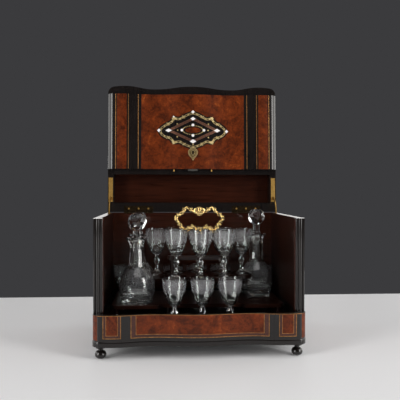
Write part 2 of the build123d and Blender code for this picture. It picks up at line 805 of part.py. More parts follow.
def keyhole_shape():
    """Round top with a straight slot below it."""
    with BuildSketch() as hole:
        with Locations((0, -escutcheon_drop + keyhole_rise)):
            Circle(keyhole_r)
        with Locations((0, -escutcheon_drop + keyhole_rise - keyhole_slot / 2)):
            Rectangle(keyhole_r * 1.1, keyhole_slot)
    return hole.sketch


def lozenge_shape():
    """The marquetry's black ground."""
    w, h = cartouche_half_width, cartouche_half_height
    with BuildSketch() as lozenge:
        with Locations((0, -cartouche_drop)):
            Polygon((-w, 0), (0, -h), (w, 0), (0, h), align=None)
        with Locations((0, -escutcheon_drop)):
            Circle(escutcheon_r + cartouche_gap, mode=Mode.SUBTRACT)
    return lozenge.sketch


def inlay(shape, proud):
    """A thin plate of that shape, let into the panel's curved face."""
    with BuildPart() as plate:
        with BuildSketch(panel_plane):
            add(outline(panel_crest, panel_back, proud))
            add(outline(panel_crest, panel_back + 1, -inlay_depth), mode=Mode.SUBTRACT)
        extrude(amount=panel_bottom)
        with BuildSketch(front_plane):
            add(shape)
        extrude(amount=2 * crest_reach, mode=Mode.INTERSECT)
    return plate.part


escutcheon_pocket = inlay(drop_shape(), escutcheon_proud)
cartouche_plate = inlay(lozenge_shape(), 0.0)
with BuildPart() as keyway:
    with BuildSketch(front_plane):
        add(keyhole_shape())
    extrude(amount=2 * crest_reach)

with BuildPart() as panel:
    with BuildSketch(panel_plane.offset(-panel_clear)):
        add(outline(panel_crest, panel_back))
    extrude(amount=panel_bottom + panel_clear)
    add(escutcheon_pocket, mode=Mode.SUBTRACT)
    add(cartouche_plate, mode=Mode.SUBTRACT)
    add(keyway.part, mode=Mode.SUBTRACT)
    panel_pocket = leaf_plates(
        front_panel_leaf_plane, front_hinge_x, front_hinge_length, front_hinge_leaf,
        front_hinge_leaf_thickness, panel_clear,
    )
    add(panel_pocket, mode=Mode.SUBTRACT)
    add(front_barrels, mode=Mode.SUBTRACT)
    with BuildSketch(panel_plane.offset(panel_bottom)):
        with Locations((0, panel_back - lock_depth / 2)):
            Rectangle(2 * lock_half_width, lock_depth)
    extrude(amount=lock_height, mode=Mode.SUBTRACT)
    with BuildSketch(panel_plane.offset(panel_bottom)):
        with Locations(*pin_spots):
            Circle(locating_pin_r + screw_pilot_gap)
    extrude(amount=locating_pin_root, mode=Mode.SUBTRACT)
write(panel.part, "front_panel")

with BuildPart() as escutcheon:
    add(escutcheon_pocket)
    add(keyway.part, mode=Mode.SUBTRACT)
write(escutcheon.part, "escutcheon")
write(cartouche_plate, "marquetry_ground")

with BuildPart() as lip:
    with BuildSketch(panel_plane.offset(panel_bottom)):
        with Locations((0, panel_back - lip_thickness / 2)):
            Rectangle(2 * (inner_half - lip_end_gap), lip_thickness)
    extrude(amount=-lip_height)
write(lip.part, "panel_lip")

with BuildPart() as locating_pins:
    with BuildSketch(panel_plane.offset(panel_bottom - locating_pin_proud)):
        with Locations(*pin_spots):
            Circle(locating_pin_r)
    extrude(amount=locating_pin_proud + locating_pin_root)
write(locating_pins.part, "locating_pins")

bolt_local_y = panel_back - lock_depth + bolt_thickness
nozzle_front = panel_back - lock_depth
nozzle_back = panel_back - lip_thickness - lip_gap
with BuildPart() as lock_case:
    with BuildSketch(panel_plane.offset(panel_bottom)):
        with Locations((0, panel_back - lock_depth / 2)):
            Rectangle(2 * lock_half_width, lock_depth)
    extrude(amount=lock_height)
    with BuildSketch(panel_plane.offset(panel_bottom)):
        with Locations((0, (nozzle_front + nozzle_back) / 2)):
            Rectangle(2 * nozzle_half_width, nozzle_back - nozzle_front)
    extrude(amount=-nozzle_height)
    with BuildSketch(panel_plane.offset(panel_bottom - nozzle_height)):
        with Locations((0, bolt_local_y)):
            Rectangle(2 * (bolt_half_width + bolt_clearance), bolt_thickness + 2 * bolt_clearance)
    extrude(amount=bolt_length + hole_spare, mode=Mode.SUBTRACT)
    with BuildSketch(front_plane):
        add(keyhole_shape())
    extrude(amount=2 * crest_reach, mode=Mode.SUBTRACT)
write(lock_case.part, "lock_case")

with BuildPart() as bolt:
    with BuildSketch(panel_plane.offset(panel_bottom - nozzle_height + bolt_clearance)):
        with Locations((0, bolt_local_y)):
            Rectangle(2 * bolt_half_width, bolt_thickness)
    extrude(amount=bolt_length)
write(bolt.part, "lock_bolt")

# ================================================================ caddy
middle_y = posts_y + contents_y
caddy_z = floor_z + caddy_gap
lower_z = caddy_z + caddy_board_thickness
board_z = lower_z + tier_rise
shelf_z = board_z + shelf_rise
rail_top = shelf_z + rail_rise


def place(x, y):
    """A spot among the contents."""
    return (contents_shift + x, middle_y + y)


upper_spots = [place(0, k * upper_centre_y) for k in (-1, 1)]
upper_spots += [place(side * glass_pitch, k * upper_pair_y) for k in (-1, 1) for side in (-1, 1)]
upper_spots += [place(side * upper_side_x, upper_side_y) for side in (-1, 1)]
lower_spots = [place(k * lower_row_x, y) for y in (lower_front_y, lower_back_y) for k in (-1, 0, 1)]
lower_spots += [(side * corner_glass_x, middle_y + corner_glass_y) for side in (-1, 1)]
decanter_spots = {
    "front_left": place(-decanter_x, decanter_front_y),
    "back_left": place(-decanter_x, decanter_back_y),
    "back_right": place(decanter_x, decanter_back_y),
    "front_right": place(decanter_x, decanter_front_y),
}


def well_cuts(top, spots, r):
    """Shallow round wells in a board's top."""
    with BuildPart() as wells:
        with BuildSketch(Plane.XY.offset(top - well_depth)):
            with Locations(*spots):
                Circle(r)
        extrude(amount=well_depth + 1)
    return wells.part


caddy_back = back_y - wall_thickness - caddy_back_gap
caddy_half_width = inner_half - caddy_side_gap
notch_x = caddy_half_width - (half_width - post_width) + notch_gap
notch_y = post_depth - caddy_front + notch_gap
with BuildPart() as lower_board:
    with BuildSketch(Plane.XY.offset(caddy_z)):
        with Locations((0, (posts_y + caddy_front + caddy_back) / 2)):
            RectangleRounded(2 * caddy_half_width, caddy_back - posts_y - caddy_front, caddy_corner_r)
        for side in (-1, 1):
            with Locations((side * caddy_half_width, posts_y + caddy_front)):
                Rectangle(2 * notch_x, 2 * notch_y, mode=Mode.SUBTRACT)
    extrude(amount=caddy_board_thickness)
    add(well_cuts(lower_z, lower_spots, glass_foot_r + well_gap), mode=Mode.SUBTRACT)
write(lower_board.part, "caddy_lower_board")

row_clear = middle_y + lower_front_y + glass_rim_r + well_gap
board_front = decanter_spots["front_left"][1] - decanter_base_r - decanter_board_lead
board_back = middle_y + lower_back_y - glass_rim_r - decanter_board_gap
board_half = contents_shift + decanter_x + decanter_base_r + decanter_board_border
bay_half = lower_row_x + glass_rim_r + bay_gap
with BuildPart() as decanter_board:
    with BuildSketch(Plane.XY.offset(board_z - decanter_board_thickness)) as plan:
        with Locations((0, (board_front + board_back) / 2)):
            Rectangle(2 * board_half, board_back - board_front)
        with Locations((contents_shift, (board_front + row_clear) / 2)):
            Rectangle(2 * bay_half, row_clear - board_front, mode=Mode.SUBTRACT)
        fillet(plan.vertices().group_by(Axis.Y)[0], radius=0.9 * (row_clear - board_front))
        with Locations(decanter_spots["back_left"], decanter_spots["back_right"]):
            Circle(decanter_base_r + decanter_lobe_border)
    extrude(amount=decanter_board_thickness)
    add(well_cuts(board_z, decanter_spots.values(), decanter_base_r + well_gap), mode=Mode.SUBTRACT)
write(decanter_board.part, "decanter_board")

lower_pillar_spots = [
    (side * (board_half - pillar_side_inset), y)
    for side in (-1, 1)
    for y in (board_front + pillar_front_inset, board_back - pillar_back_inset)
]
lower_pillar_spots += [place(side * inner_pillar_x, 0) for side in (-1, 1)]
upper_pillar_spots = [
    place(side * shelf_pillar_x, y) for side in (-1, 1) for y in (shelf_pillar_front_y, shelf_pillar_back_y)
]
with BuildPart() as pillars:
    with BuildSketch(Plane.XY.offset(lower_z)):
        with Locations(*lower_pillar_spots):
            Circle(pillar_r)
    extrude(amount=tier_rise - decanter_board_thickness)
    with BuildSketch(Plane.XY.offset(board_z)):
        with Locations(*upper_pillar_spots):
            Circle(pillar_r)
    extrude(amount=shelf_rise - shelf_thickness)
write(pillars.part, "caddy_pillars")

with BuildPart() as shelf:
    with BuildSketch(Plane.XY.offset(shelf_z - shelf_thickness)):
        with Locations(*upper_spots[:6]):
            Circle(lobe_r)
        with Locations(*upper_spots[6:]):
            Circle(side_lobe_r)
        ring = [upper_spots[i] for i in (0, 3, 7, 5, 1, 4, 6, 2)]
        Polygon(*ring, align=None)
    extrude(amount=shelf_thickness)
    add(well_cuts(shelf_z, upper_spots, glass_foot_r + well_gap), mode=Mode.SUBTRACT)
write(shelf.part, "glass_shelf")

with BuildPart() as handle_rail:
    with BuildSketch(Plane.XY.offset(rail_top - rail_thickness)):
        with Locations(place(0, 0)):
            SlotOverall(2 * rail_half_length, rail_depth)
    extrude(amount=rail_thickness)
    with BuildSketch(Plane.XY.offset(shelf_z)):
        with Locations(*[place(side * (rail_half_length - rail_leg), 0) for side in (-1, 1)]):
            Circle(rail_leg / 2)
    extrude(amount=rail_rise - rail_thickness)
write(handle_rail.part, "handle_rail")

handle_plane = Plane(
    origin=(contents_shift, middle_y, rail_top + handle_centre_rise), x_dir=(1, 0, 0), z_dir=(0, -1, 0)
)


def handle_plan(grow):
    """The handle's middle line as a closed shape with round corners, grown by that much."""
    right = (handle_shoulder, handle_tip, handle_hip)
    left = [(-x, y) for x, y in reversed(right)]
    with BuildSketch() as plan:
        with BuildLine():
            Polyline((0, handle_dip), *right, (0, -handle_foot), *left, close=True)
        make_face()
        fillet(plan.vertices(), radius=handle_corner_r)
        offset(amount=grow)
    return plan.sketch


with BuildPart() as handle:
    with BuildSketch(handle_plane):
        add(handle_plan(handle_tube_r))
        add(handle_plan(-handle_tube_r), mode=Mode.SUBTRACT)
    extrude(amount=handle_depth / 2, both=True)
write(handle.part, "handle")

stem_top = rail_top + handle_centre_rise - handle_foot - handle_tube_r + stem_sink
with BuildPart() as stem:
    with BuildSketch(Plane(origin=(*place(0, 0), 0), x_dir=(1, 0, 0), z_dir=(0, -1, 0))):
        with BuildLine():
            Polyline(
                (0, rail_top), (rail_depth * 0.45, rail_top),
                (rail_depth * 0.45, rail_top + 0.4 * stem_foot_height), (stem_r, rail_top + stem_foot_height),
                (stem_r * 0.8, (rail_top + stem_top) / 2), (stem_r, stem_top - 0.8 * stem_foot_height),
                (stem_r, stem_top), (0, stem_top), (0, rail_top),
            )
        make_face()
    revolve(axis=Axis((*place(0, 0), 0), (0, 0, 1)))
    add(handle.part, mode=Mode.SUBTRACT)
write(stem.part, "handle_stem")


# ================================================================ glasses
def glass_outline():
    """Half section of a stemmed liqueur glass, standing on z = 0."""
    top, rim, foot, wall = glass_height, glass_rim_r, glass_foot_r, glass_wall
    bowl = 0.44 * top
    knop = 0.33 * top
    under_r, side_r = 0.58 * rim, 0.87 * rim
    cup = bowl + cup_floor
    with BuildSketch(Plane.XZ) as half:
        with BuildLine():
            base = Polyline((0, 0), (foot, 0), (foot, glass_foot_edge))
            rise = Spline(
                base @ 1, (foot * 0.3, glass_foot_rise), (glass_stem_r, glass_stem_foot),
                tangents=((-1, 0.15), (0, 1)),
            )
            stem = Line(rise @ 1, (glass_stem_r, knop - glass_knop_half))
            bead = ThreePointArc(stem @ 1, (glass_knop_r, knop), (glass_stem_r, knop + glass_knop_half))
            neck = Line(bead @ 1, (glass_neck_r, bowl))
            under = Spline(
                neck @ 1, (under_r, bowl + bowl_under), (side_r, bowl + bowl_side),
                tangents=((1, 0.45), (rim - side_r, top - bowl - bowl_side)),
            )
            side = Line(under @ 1, (rim, top))
            lip = Line(side @ 1, (rim - wall, top))
            inner = Line(lip @ 1, (side_r - wall, bowl + bowl_side))
            cup_side = Spline(
                inner @ 1, (under_r - 1.1 * wall, cup + 0.5 * bowl_under), (0.25 * rim, cup + 0.6 * wall),
                tangents=((side_r - rim, bowl + bowl_side - top), (-1, -0.35)),
            )
            Polyline(cup_side @ 1, (0, cup), (0, 0))
        make_face()
    return half.sketch


with BuildPart() as glass:
    add(glass_outline())
    revolve(axis=Axis.Z)

glass_number = 0
for spots, seat_z in ((upper_spots, shelf_z), (lower_spots, lower_z)):
    for x, y in spots:
        glass_number += 1
        copy = glass.part.moved(Location((x, y, seat_z - well_depth + seat_gap)))
        write(copy, f"glass_{glass_number:02d}")


# ================================================================ decanters and stoppers
def decanter_outline():
    """Half section of a decanter, standing on z = 0."""
    r, base, neck, bore = decanter_r, decanter_base_r, decanter_neck_r, decanter_bore_r
    wall, mouth, mouth_r, edge = decanter_wall, decanter_mouth, decanter_mouth_r, edge_r
    with BuildSketch(Plane.XZ) as half:
        with BuildLine():
            ring = Polyline(
                (0, 0), (base - edge, 0), (base, edge), (base, decanter_ring),
                (base - 0.8 * edge, decanter_ring + edge),
            )
            lower = Line(ring @ 1, (r, decanter_belly_from))
            body = Line(lower @ 1, (r, decanter_belly_to))
            shoulder = Spline(
                body @ 1, (r * 0.84, decanter_shoulder), (neck * 1.26, decanter_neck_foot),
                (neck, decanter_neck_from), tangents=((0, 1), (0, 1)),
            )
            throat = Line(shoulder @ 1, (neck, mouth - decanter_flare))
            flare = Spline(throat @ 1, (mouth_r, mouth - 0.6 * edge), tangents=((0, 1), (0.8, 1)))
            top = Polyline(
                flare @ 1, (mouth_r - 0.4 * edge, mouth), (bore + 0.4 * edge, mouth), (bore, mouth - edge)
            )
            bore_line = Line(top @ 1, (bore * 0.92, decanter_neck_from + 2 * edge))
            inside = Spline(
                bore_line @ 1, (neck * 1.08, decanter_neck_foot - edge), (r * 0.74, decanter_shoulder - edge),
                (r - wall, decanter_belly_to - edge), tangents=((0, -1), (0, -1)),
            )
            wall_line = Line(inside @ 1, (r - wall, decanter_belly_from))
            bottom = Line(wall_line @ 1, (base - 1.5 * wall, decanter_floor + edge))
            Polyline(bottom @ 1, (0, decanter_floor), (0, 0))
        make_face()
    return half.sketch


def stopper_outline(rise):
    """Half section of a stopper on the decanter's own heights; rise lengthens its neck."""
    plug_r = decanter_bore_r - stopper_gap
    seat = decanter_mouth + stopper_gap
    foot = seat - stopper_plug
    collar_r = plug_r + stopper_collar
    top = decanter_mouth + stopper_rise + rise
    ball_z = top - stopper_ball_r
    ball_foot = ball_z - sqrt(stopper_ball_r**2 - stopper_neck_r**2)
    with BuildSketch(Plane.XZ) as half:
        with BuildLine():
            plug = Polyline((0, foot), (plug_r * 0.83, foot), (plug_r * 0.95, seat))
            collar = Polyline(plug @ 1, (collar_r, seat), (collar_r, seat + stopper_collar))
            neck = Line(collar @ 1, (stopper_neck_r, ball_foot))
            ball = ThreePointArc(neck @ 1, (stopper_ball_r, ball_z), (0, top))
            Line(ball @ 1, (0, foot))
        make_face()
    return half.sketch


with BuildPart() as decanter:
    add(decanter_outline())
    revolve(axis=Axis.Z)

decanter_z = board_z - well_depth + seat_gap
for name, rise in (("front_left", 0.0), ("back_left", 0.0), ("back_right", back_right_stopper_rise)):
    x, y = decanter_spots[name]
    write(decanter.part.moved(Location((x, y, decanter_z))), f"decanter_{name}")
    with BuildPart() as stopper:
        add(stopper_outline(rise))
        revolve(axis=Axis.Z)
    write(stopper.part.moved(Location((x, y, decanter_z))), f"stopper_{name}")
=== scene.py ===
"""Dresses the antique tantalus: veneers, marquetry, gilt handle, cut glass, finishes, light and camera."""
import json
from math import cos, pi, radians, sin

import bmesh
import bpy
import numpy as np
from bpy.props import FloatProperty, FloatVectorProperty, IntProperty, PointerProperty
from mathutils import Matrix, Vector


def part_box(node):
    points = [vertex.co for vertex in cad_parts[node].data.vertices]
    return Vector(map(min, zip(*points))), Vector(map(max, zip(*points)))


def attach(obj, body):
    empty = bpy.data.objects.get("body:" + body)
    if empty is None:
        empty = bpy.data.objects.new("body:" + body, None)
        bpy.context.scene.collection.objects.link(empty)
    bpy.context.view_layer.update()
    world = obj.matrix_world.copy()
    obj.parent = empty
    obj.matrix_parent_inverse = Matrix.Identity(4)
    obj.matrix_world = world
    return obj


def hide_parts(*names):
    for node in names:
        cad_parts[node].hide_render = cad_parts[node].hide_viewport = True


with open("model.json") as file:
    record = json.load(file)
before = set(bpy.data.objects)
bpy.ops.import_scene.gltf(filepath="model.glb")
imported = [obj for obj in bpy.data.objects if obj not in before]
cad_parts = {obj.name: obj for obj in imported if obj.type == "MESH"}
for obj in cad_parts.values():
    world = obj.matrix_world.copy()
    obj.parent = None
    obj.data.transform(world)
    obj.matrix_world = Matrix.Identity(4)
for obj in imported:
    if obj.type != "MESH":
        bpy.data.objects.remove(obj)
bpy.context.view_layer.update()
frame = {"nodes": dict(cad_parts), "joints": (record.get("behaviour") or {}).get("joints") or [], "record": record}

bl_info = {
    "name": "Antique tantalus",
    "version": (1, 0, 0),
    "blender": (4, 5, 0),
    "location": "View3D > Sidebar > Tantalus",
    "description": "Builds the veneers, inlays, glass and finishes of a liqueur case",
    "category": "Object",
}

MM = 0.001
LEAN = radians(3.0)  # how far the open lid stands past upright
TABLE_BACK = 415.0  # the table's far edge, in millimetres


# ---- places
# A placing is an origin and three axes. Points are given in millimetres on it.
def pivot(name):
    """Where a hinge turns, in millimetres."""
    joint = next(j for j in frame["joints"] if j["name"] == name)
    return np.array(joint["pos_m"]) / MM


def low(node):
    """A node's lowest corner, in millimetres."""
    return np.array(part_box(node)[0]) / MM


def high(node):
    """A node's highest corner, in millimetres."""
    return np.array(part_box(node)[1]) / MM


POSTS_Y = low("front_posts")[1]
BACK_Y = high("side_walls")[1]
HALF = high("side_walls")[0]
RAIL_Z = low("base_front_rail")[2]
WALL_Z = high("base_front_rail")[2]
TOP_Z = high("side_walls")[2]
CREST = POSTS_Y - low("base_front_rail")[1]  # the serpentine's reach ahead of the posts
CASE = (np.array([0, POSTS_Y, 0]), (1, 0, 0), (0, 1, 0), (0, 0, 1))
PANEL = (pivot("front_turn"), (1, 0, 0), (0, cos(LEAN), -sin(LEAN)), (0, sin(LEAN), cos(LEAN)))
LID = (pivot("lid_turn"), (1, 0, 0), (0, -sin(LEAN), -cos(LEAN)), (0, cos(LEAN), -sin(LEAN)))
BASE = (CASE, CREST)  # a front is a placing and the reach of its middle crest
FOLD = (PANEL, CREST - 0.2)


def placed(placing, points):
    """Origin plus each point's three lengths along the placing's axes."""
    origin, *axes = placing
    return origin + points @ np.array(axes, float)


# ---- settings
def size(name, about, default, least, most):
    """A length, share or count that a user may change."""
    kind = IntProperty if isinstance(default, int) else FloatProperty
    return kind(name=name, description=about, default=default, min=least, max=most)


class TantalusSizes(bpy.types.PropertyGroup):
    """Sizes that a user may change, in millimetres where no unit is named"""

    wave: size("Wave", "Depth of the front's wave, crest to dip", 7.0, 0, 12)
    dip_share: size("Dip", "Place of the dips between the middle and the outer crests", 0.566, 0.4, 0.7)
    crest_inset: size("Crest inset", "Outer crests from the sides", 35.0, 25, 60)
    corner: size("Corner", "Radius of the front's corners", 14.0, 6, 20)
    veneer: size("Veneer", "How proud the veneers stand", 0.16, 0.05, 0.4)
    string: size("Stringing", "Width of the brass stringing", 0.9, 0.4, 2)
    cartouche_x: size("Cartouche", "Half width of the marquetry", 70.0, 40, 90)
    cartouche_z: size("Cartouche height", "Half height of it", 38.0, 20, 50)
    scroll: size("Scroll", "Width of the cartouche's brass scroll", 5.2, 3, 8)
    cartouche_drop: size("Cartouche drop", "Its middle below the panel's hinge", 77.0, 50, 100)
    bowl_panels: size("Bowl panels", "Flat cuts round each glass", 12, 6, 16)
    neck_panels: size("Neck panels", "Flat cuts round a decanter's neck", 12, 6, 16)


def shade(name, about, code):
    """A colour property whose default is an sRGB hex code turned to linear."""
    return FloatVectorProperty(
        name=name, description=about, subtype="COLOR", size=4, default=linear(code), min=0, max=1
    )


def linear(code):
    """Linear RGBA of an sRGB hex code."""
    srgb = np.array([int(code[i : i + 2], 16) for i in (1, 3, 5)]) / 255
    rgb = np.where(srgb <= 0.04045, srgb / 12.92, ((srgb + 0.055) / 1.055) ** 2.4)
    return (*rgb.tolist(), 1.0)


class TantalusColours(bpy.types.PropertyGroup):
    """Main colour of each finish"""

    burl: shade("Burl", "Thuya burl between its darkest and palest figure", "#5f260a")
    ebony: shade("Ebonised pear", "Black-stained pearwood", "#120d0b")
    lining: shade("Mahogany", "Polished mahogany of the inside", "#2c1005")
    # the caddy's stain, also laid on the case's side walls as painted shade
    stained: shade("Stained wood", "Dark stained mahogany of the caddy", "#1e0d08")
    rosewood: shade("Rosewood", "Rosewood of the crossbanding", "#3a190f")
    brass: shade("Brass", "Polished brass", "#c79f58")
    gilt: shade("Gilt bronze", "Mercury-gilt bronze", "#f6d692")
    pearl: shade("Mother-of-pearl", "Nacre", "#ece6df")
    crystal: shade("Crystal", "Lead crystal", "#f7faf9")


# ---- meshes
def grid_faces(rows, cols, wrap_rows=False, wrap_cols=False):
    """Quads between neighbours of a grid whose points are numbered row by row."""
    r = np.arange(rows if wrap_rows else rows - 1)[:, None]
    c = np.arange(cols if wrap_cols else cols - 1)[None, :]
    r_next, c_next = (r + 1) % rows, (c + 1) % cols
    corners = (r * cols + c, r * cols + c_next, r_next * cols + c_next, r_next * cols + c)
    return np.stack(corners, -1).reshape(-1, 4)


def finish_piece(name, shell, body, look, own=None, sharp=35.0, caps=()):
    """Puts a shell, or a list of them, into a mesh in metres that rides on a body.

    Points that meet at a pole are merged and faces are turned outwards. own gives each point the three
    lengths that its finish reads, and caps lists the faces that close a board's ends.
    """
    points, faces = shell if isinstance(shell, tuple) else joined(shell)
    mesh = bpy.data.meshes.new(name)
    mesh.from_pydata((points.reshape(-1, 3) * MM).tolist(), [], faces.tolist() + [list(cap) for cap in caps])
    if own is not None:
        around = mesh.attributes.new("own", "FLOAT_VECTOR", "POINT")
        around.data.foreach_set("vector", (own.reshape(-1, 3) * MM).ravel())
    work = bmesh.new()
    work.from_mesh(mesh)
    bmesh.ops.remove_doubles(work, verts=work.verts, dist=1e-7)
    bmesh.ops.dissolve_degenerate(work, edges=work.edges, dist=1e-8)
    bmesh.ops.recalc_face_normals(work, faces=work.faces)
    work.to_mesh(mesh)
    work.free()
    mesh.shade_smooth()
    mesh.set_sharp_from_angle(angle=radians(sharp))
    mesh.materials.append(finish(look))
    piece = bpy.data.objects.new(name, mesh)
    bpy.context.scene.collection.objects.link(piece)
    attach(piece, body)
    return piece


def slab(outer, inner):
    """A closed shell between two grids of the same size: both grids and the four walls round them."""
    rows, cols = outer.shape[:2]
    count = rows * cols
    faces = grid_faces(rows, cols)
    index = np.arange(count).reshape(rows, cols)
    rim = np.concatenate([index[0, :-1], index[:-1, -1], index[-1, :0:-1], index[:0:-1, 0]])
    after = np.roll(rim, -1)
    walls = np.stack([rim, after, after + count, rim + count], -1)
    points = np.concatenate([outer.reshape(-1, 3), inner.reshape(-1, 3)])
    return points, np.concatenate([faces, faces[:, ::-1] + count, walls])


def joined(parts):
    """Several (points, faces) as one."""
    points, faces, start = [], [], 0
    for spots, quads in parts:
        points.append(spots.reshape(-1, 3))
        faces.append(quads + start)
        start += points[-1].shape[0]
    return np.concatenate(points), np.concatenate(faces)


def catmull_rom(before, here, after, beyond, steps):
    """Points from here to after on every stretch of a smooth curve through all of them."""
    t = (np.arange(steps) / steps)[None, :, None]
    a, b, c, d = (p[:, None] for p in (before, here, after, beyond))
    curve = 0.5 * (2 * b + (c - a) * t + (2 * a - 5 * b + 4 * c - d) * t**2 + (3 * b - a - 3 * c + d) * t**3)
    return curve.reshape(-1, here.shape[1])


def smooth_line(points, steps):
    """Catmull-Rom curve through the points, ends kept."""
    knots = np.array(points, float)
    ends = np.vstack([2 * knots[0] - knots[1], knots, 2 * knots[-1] - knots[-2]])
    return np.vstack([catmull_rom(ends[:-3], ends[1:-2], ends[2:-1], ends[3:], steps), knots[-1:]])


def closed_line(points, steps):
    """Catmull-Rom curve through the points and back to the first."""
    knots = np.array(points, float)
    return catmull_rom(*(np.roll(knots, shift, 0) for shift in (1, 0, -1, -2)), steps)


def spans_and_sides(loop):
    """Each point's chord between its neighbours on a closed line, and the unit vector to its left."""
    step = np.roll(loop, -1, 0) - np.roll(loop, 1, 0)
    span = np.hypot(*step.T)
    step /= span[:, None]
    return span, np.stack([-step[:, 1], step[:, 0]], -1)


def mirrored(*quarters):
    """A closed outline from the points down its right side, mirrored left and right."""
    right = np.vstack(quarters)
    return np.vstack([right, right[-2:0:-1] * (-1, 1)])


def circle(count):
    """Angles of evenly spaced points round a circle."""
    return np.arange(count) / count * 2 * pi


def revolved(radius, angle, z):
    """Points at a radius, an angle and a height; the three broadcast."""
    return np.stack(np.broadcast_arrays(radius * np.cos(angle), radius * np.sin(angle), z), -1)


# ---- the serpentine front
def serpentine(crest, grow, count):
    """Points and outward normals along the front, evenly spaced, from the left corner to the right.

    The right half is five arcs: over the middle crest, through the dip, over the outer crest and
    round the corner. The left half mirrors it.
    """
    sizes = bpy.context.scene.tantalus_sizes
    wave, corner = sizes.wave, sizes.corner
    crest_x = HALF - sizes.crest_inset
    dip_x = crest_x * sizes.dip_share
    r_mid = ((dip_x / 2) ** 2 + (wave / 2) ** 2) / wave
    half_gap = (crest_x - dip_x) / 2
    r_end = (half_gap**2 + (wave / 2) ** 2) / wave
    turn_mid, turn_end = np.arcsin(dip_x / 2 / r_mid), np.arcsin(half_gap / r_end)
    corner_x = HALF - corner
    corner_y = -crest + r_end - np.sqrt((r_end - corner) ** 2 - (corner_x - crest_x) ** 2)
    meet = np.arctan2(corner_y + crest - r_end, corner_x - crest_x)
    dip = wave - crest
    arcs = (
        (0, r_mid - crest, r_mid, -pi / 2, turn_mid - pi / 2, 1),
        (dip_x, dip - r_mid, r_mid, pi / 2 + turn_mid, pi / 2, -1),
        (dip_x, dip - r_end, r_end, pi / 2, pi / 2 - turn_end, -1),
        (crest_x, r_end - crest, r_end, -pi / 2 - turn_end, meet, 1),
        (corner_x, corner_y, corner, meet, 0, 1),
    )
    lines = []
    for x, y, r, start, end, out in arcs:
        a = np.linspace(start, end, 80)
        way = np.stack([np.cos(a), np.sin(a)], -1)
        lines.append(np.hstack([(x, y) + (r + out * grow) * way, out * way]))
    right = np.vstack(lines)
    left = right[::-1] * (-1, 1, -1, 1)
    whole = np.vstack([left, right])
    steps = np.r_[0, np.cumsum(np.hypot(*np.diff(whole[:, :2], axis=0).T))]
    even = np.linspace(0, steps[-1], count)
    return np.stack([np.interp(even, steps, whole[:, k]) for k in range(4)], -1)


def front_points(front, x, z, lift):
    """Points over the front at x and z, lifted off it along its normal; x and z broadcast."""
    placing, crest = front
    line = serpentine(crest, 0.0, 1441)
    x, z = np.broadcast_arrays(x, z)
    y, out_x, out_y = (np.interp(x, line[:, 0], line[:, k]) for k in (1, 2, 3))
    return placed(placing, np.stack([x + lift * out_x, y + lift * out_y, z], -1))


def front_sheet(front, x_from, x_to, z_from, z_to, lift, sunk=0.3):
    """A veneer sheet laid over the front between two x and two z. At the corners it follows the turn."""
    placing, crest = front
    line = serpentine(crest, 0.0, 721)
    inside = line[(line[:, 0] >= x_from) & (line[:, 0] <= x_to)]
    z = np.linspace(z_from, z_to, 9)
    layers = []
    for depth in (lift, -sunk):
        flat = inside[:, :2] + depth * inside[:, 2:]
        rows = np.broadcast_to(flat[:, None], (len(flat), len(z), 2))
        layers.append(placed(placing, np.dstack([rows, np.broadcast_to(z, rows.shape[:2])])))
    return slab(*layers)


def front_ribbon(front, path, width, lift, closed=False, sunk=0.2):
    """A flat ribbon along a path of (x, z), mitred at its corners and laid over the front."""
    line = np.array(path, float)
    long = np.vstack([line[-1:], line, line[:1]] if closed else [line[:1], line, line[-1:]])
    ahead, behind = long[2:] - line, line - long[:-2]
    ahead = np.where(np.hypot(*ahead.T)[:, None] > 1e-9, ahead, behind)
    behind = np.where(np.hypot(*behind.T)[:, None] > 1e-9, behind, ahead)
    unit = [way / np.hypot(*way.T)[:, None] for way in (ahead, behind)]
    mean = unit[0] + unit[1]
    mean /= np.maximum(np.hypot(*mean.T)[:, None], 1e-6)
    side = np.stack([-mean[:, 1], mean[:, 0]], -1)
    reach = (width / 2) / np.maximum((mean * unit[0]).sum(1), 0.35)
    reach = np.broadcast_to(reach, len(line))[:, None]
    edges = [line + side * reach, line - side * reach]
    corners = ((0, lift), (1, lift), (1, -sunk), (0, -sunk))
    rings = [front_points(front, *edges[edge].T, depth) for edge, depth in corners]
    faces = grid_faces(len(line), 4, closed, True)
    if not closed:
        last = 4 * (len(line) - 1)
        faces = np.vstack([faces, [[3, 2, 1, 0]], [[last, last + 1, last + 2, last + 3]]])
    return np.stack(rings, 1).reshape(-1, 3), faces


def dense(corners, step, closed=False):
    """Straight stretches between corners, cut into short steps."""
    knots = np.array(corners, float)
    if closed:
        knots = np.vstack([knots, knots[:1]])
    at = np.r_[0, np.cumsum(np.hypot(*np.diff(knots, axis=0).T))]
    marks = np.unique(np.concatenate([at, np.arange(0, at[-1], step)]))
    marks = marks[np.r_[True, np.diff(marks) > 1e-6]]
    line = np.stack([np.interp(marks, at, knots[:, k]) for k in range(2)], -1)
    return line[:-1] if closed else line


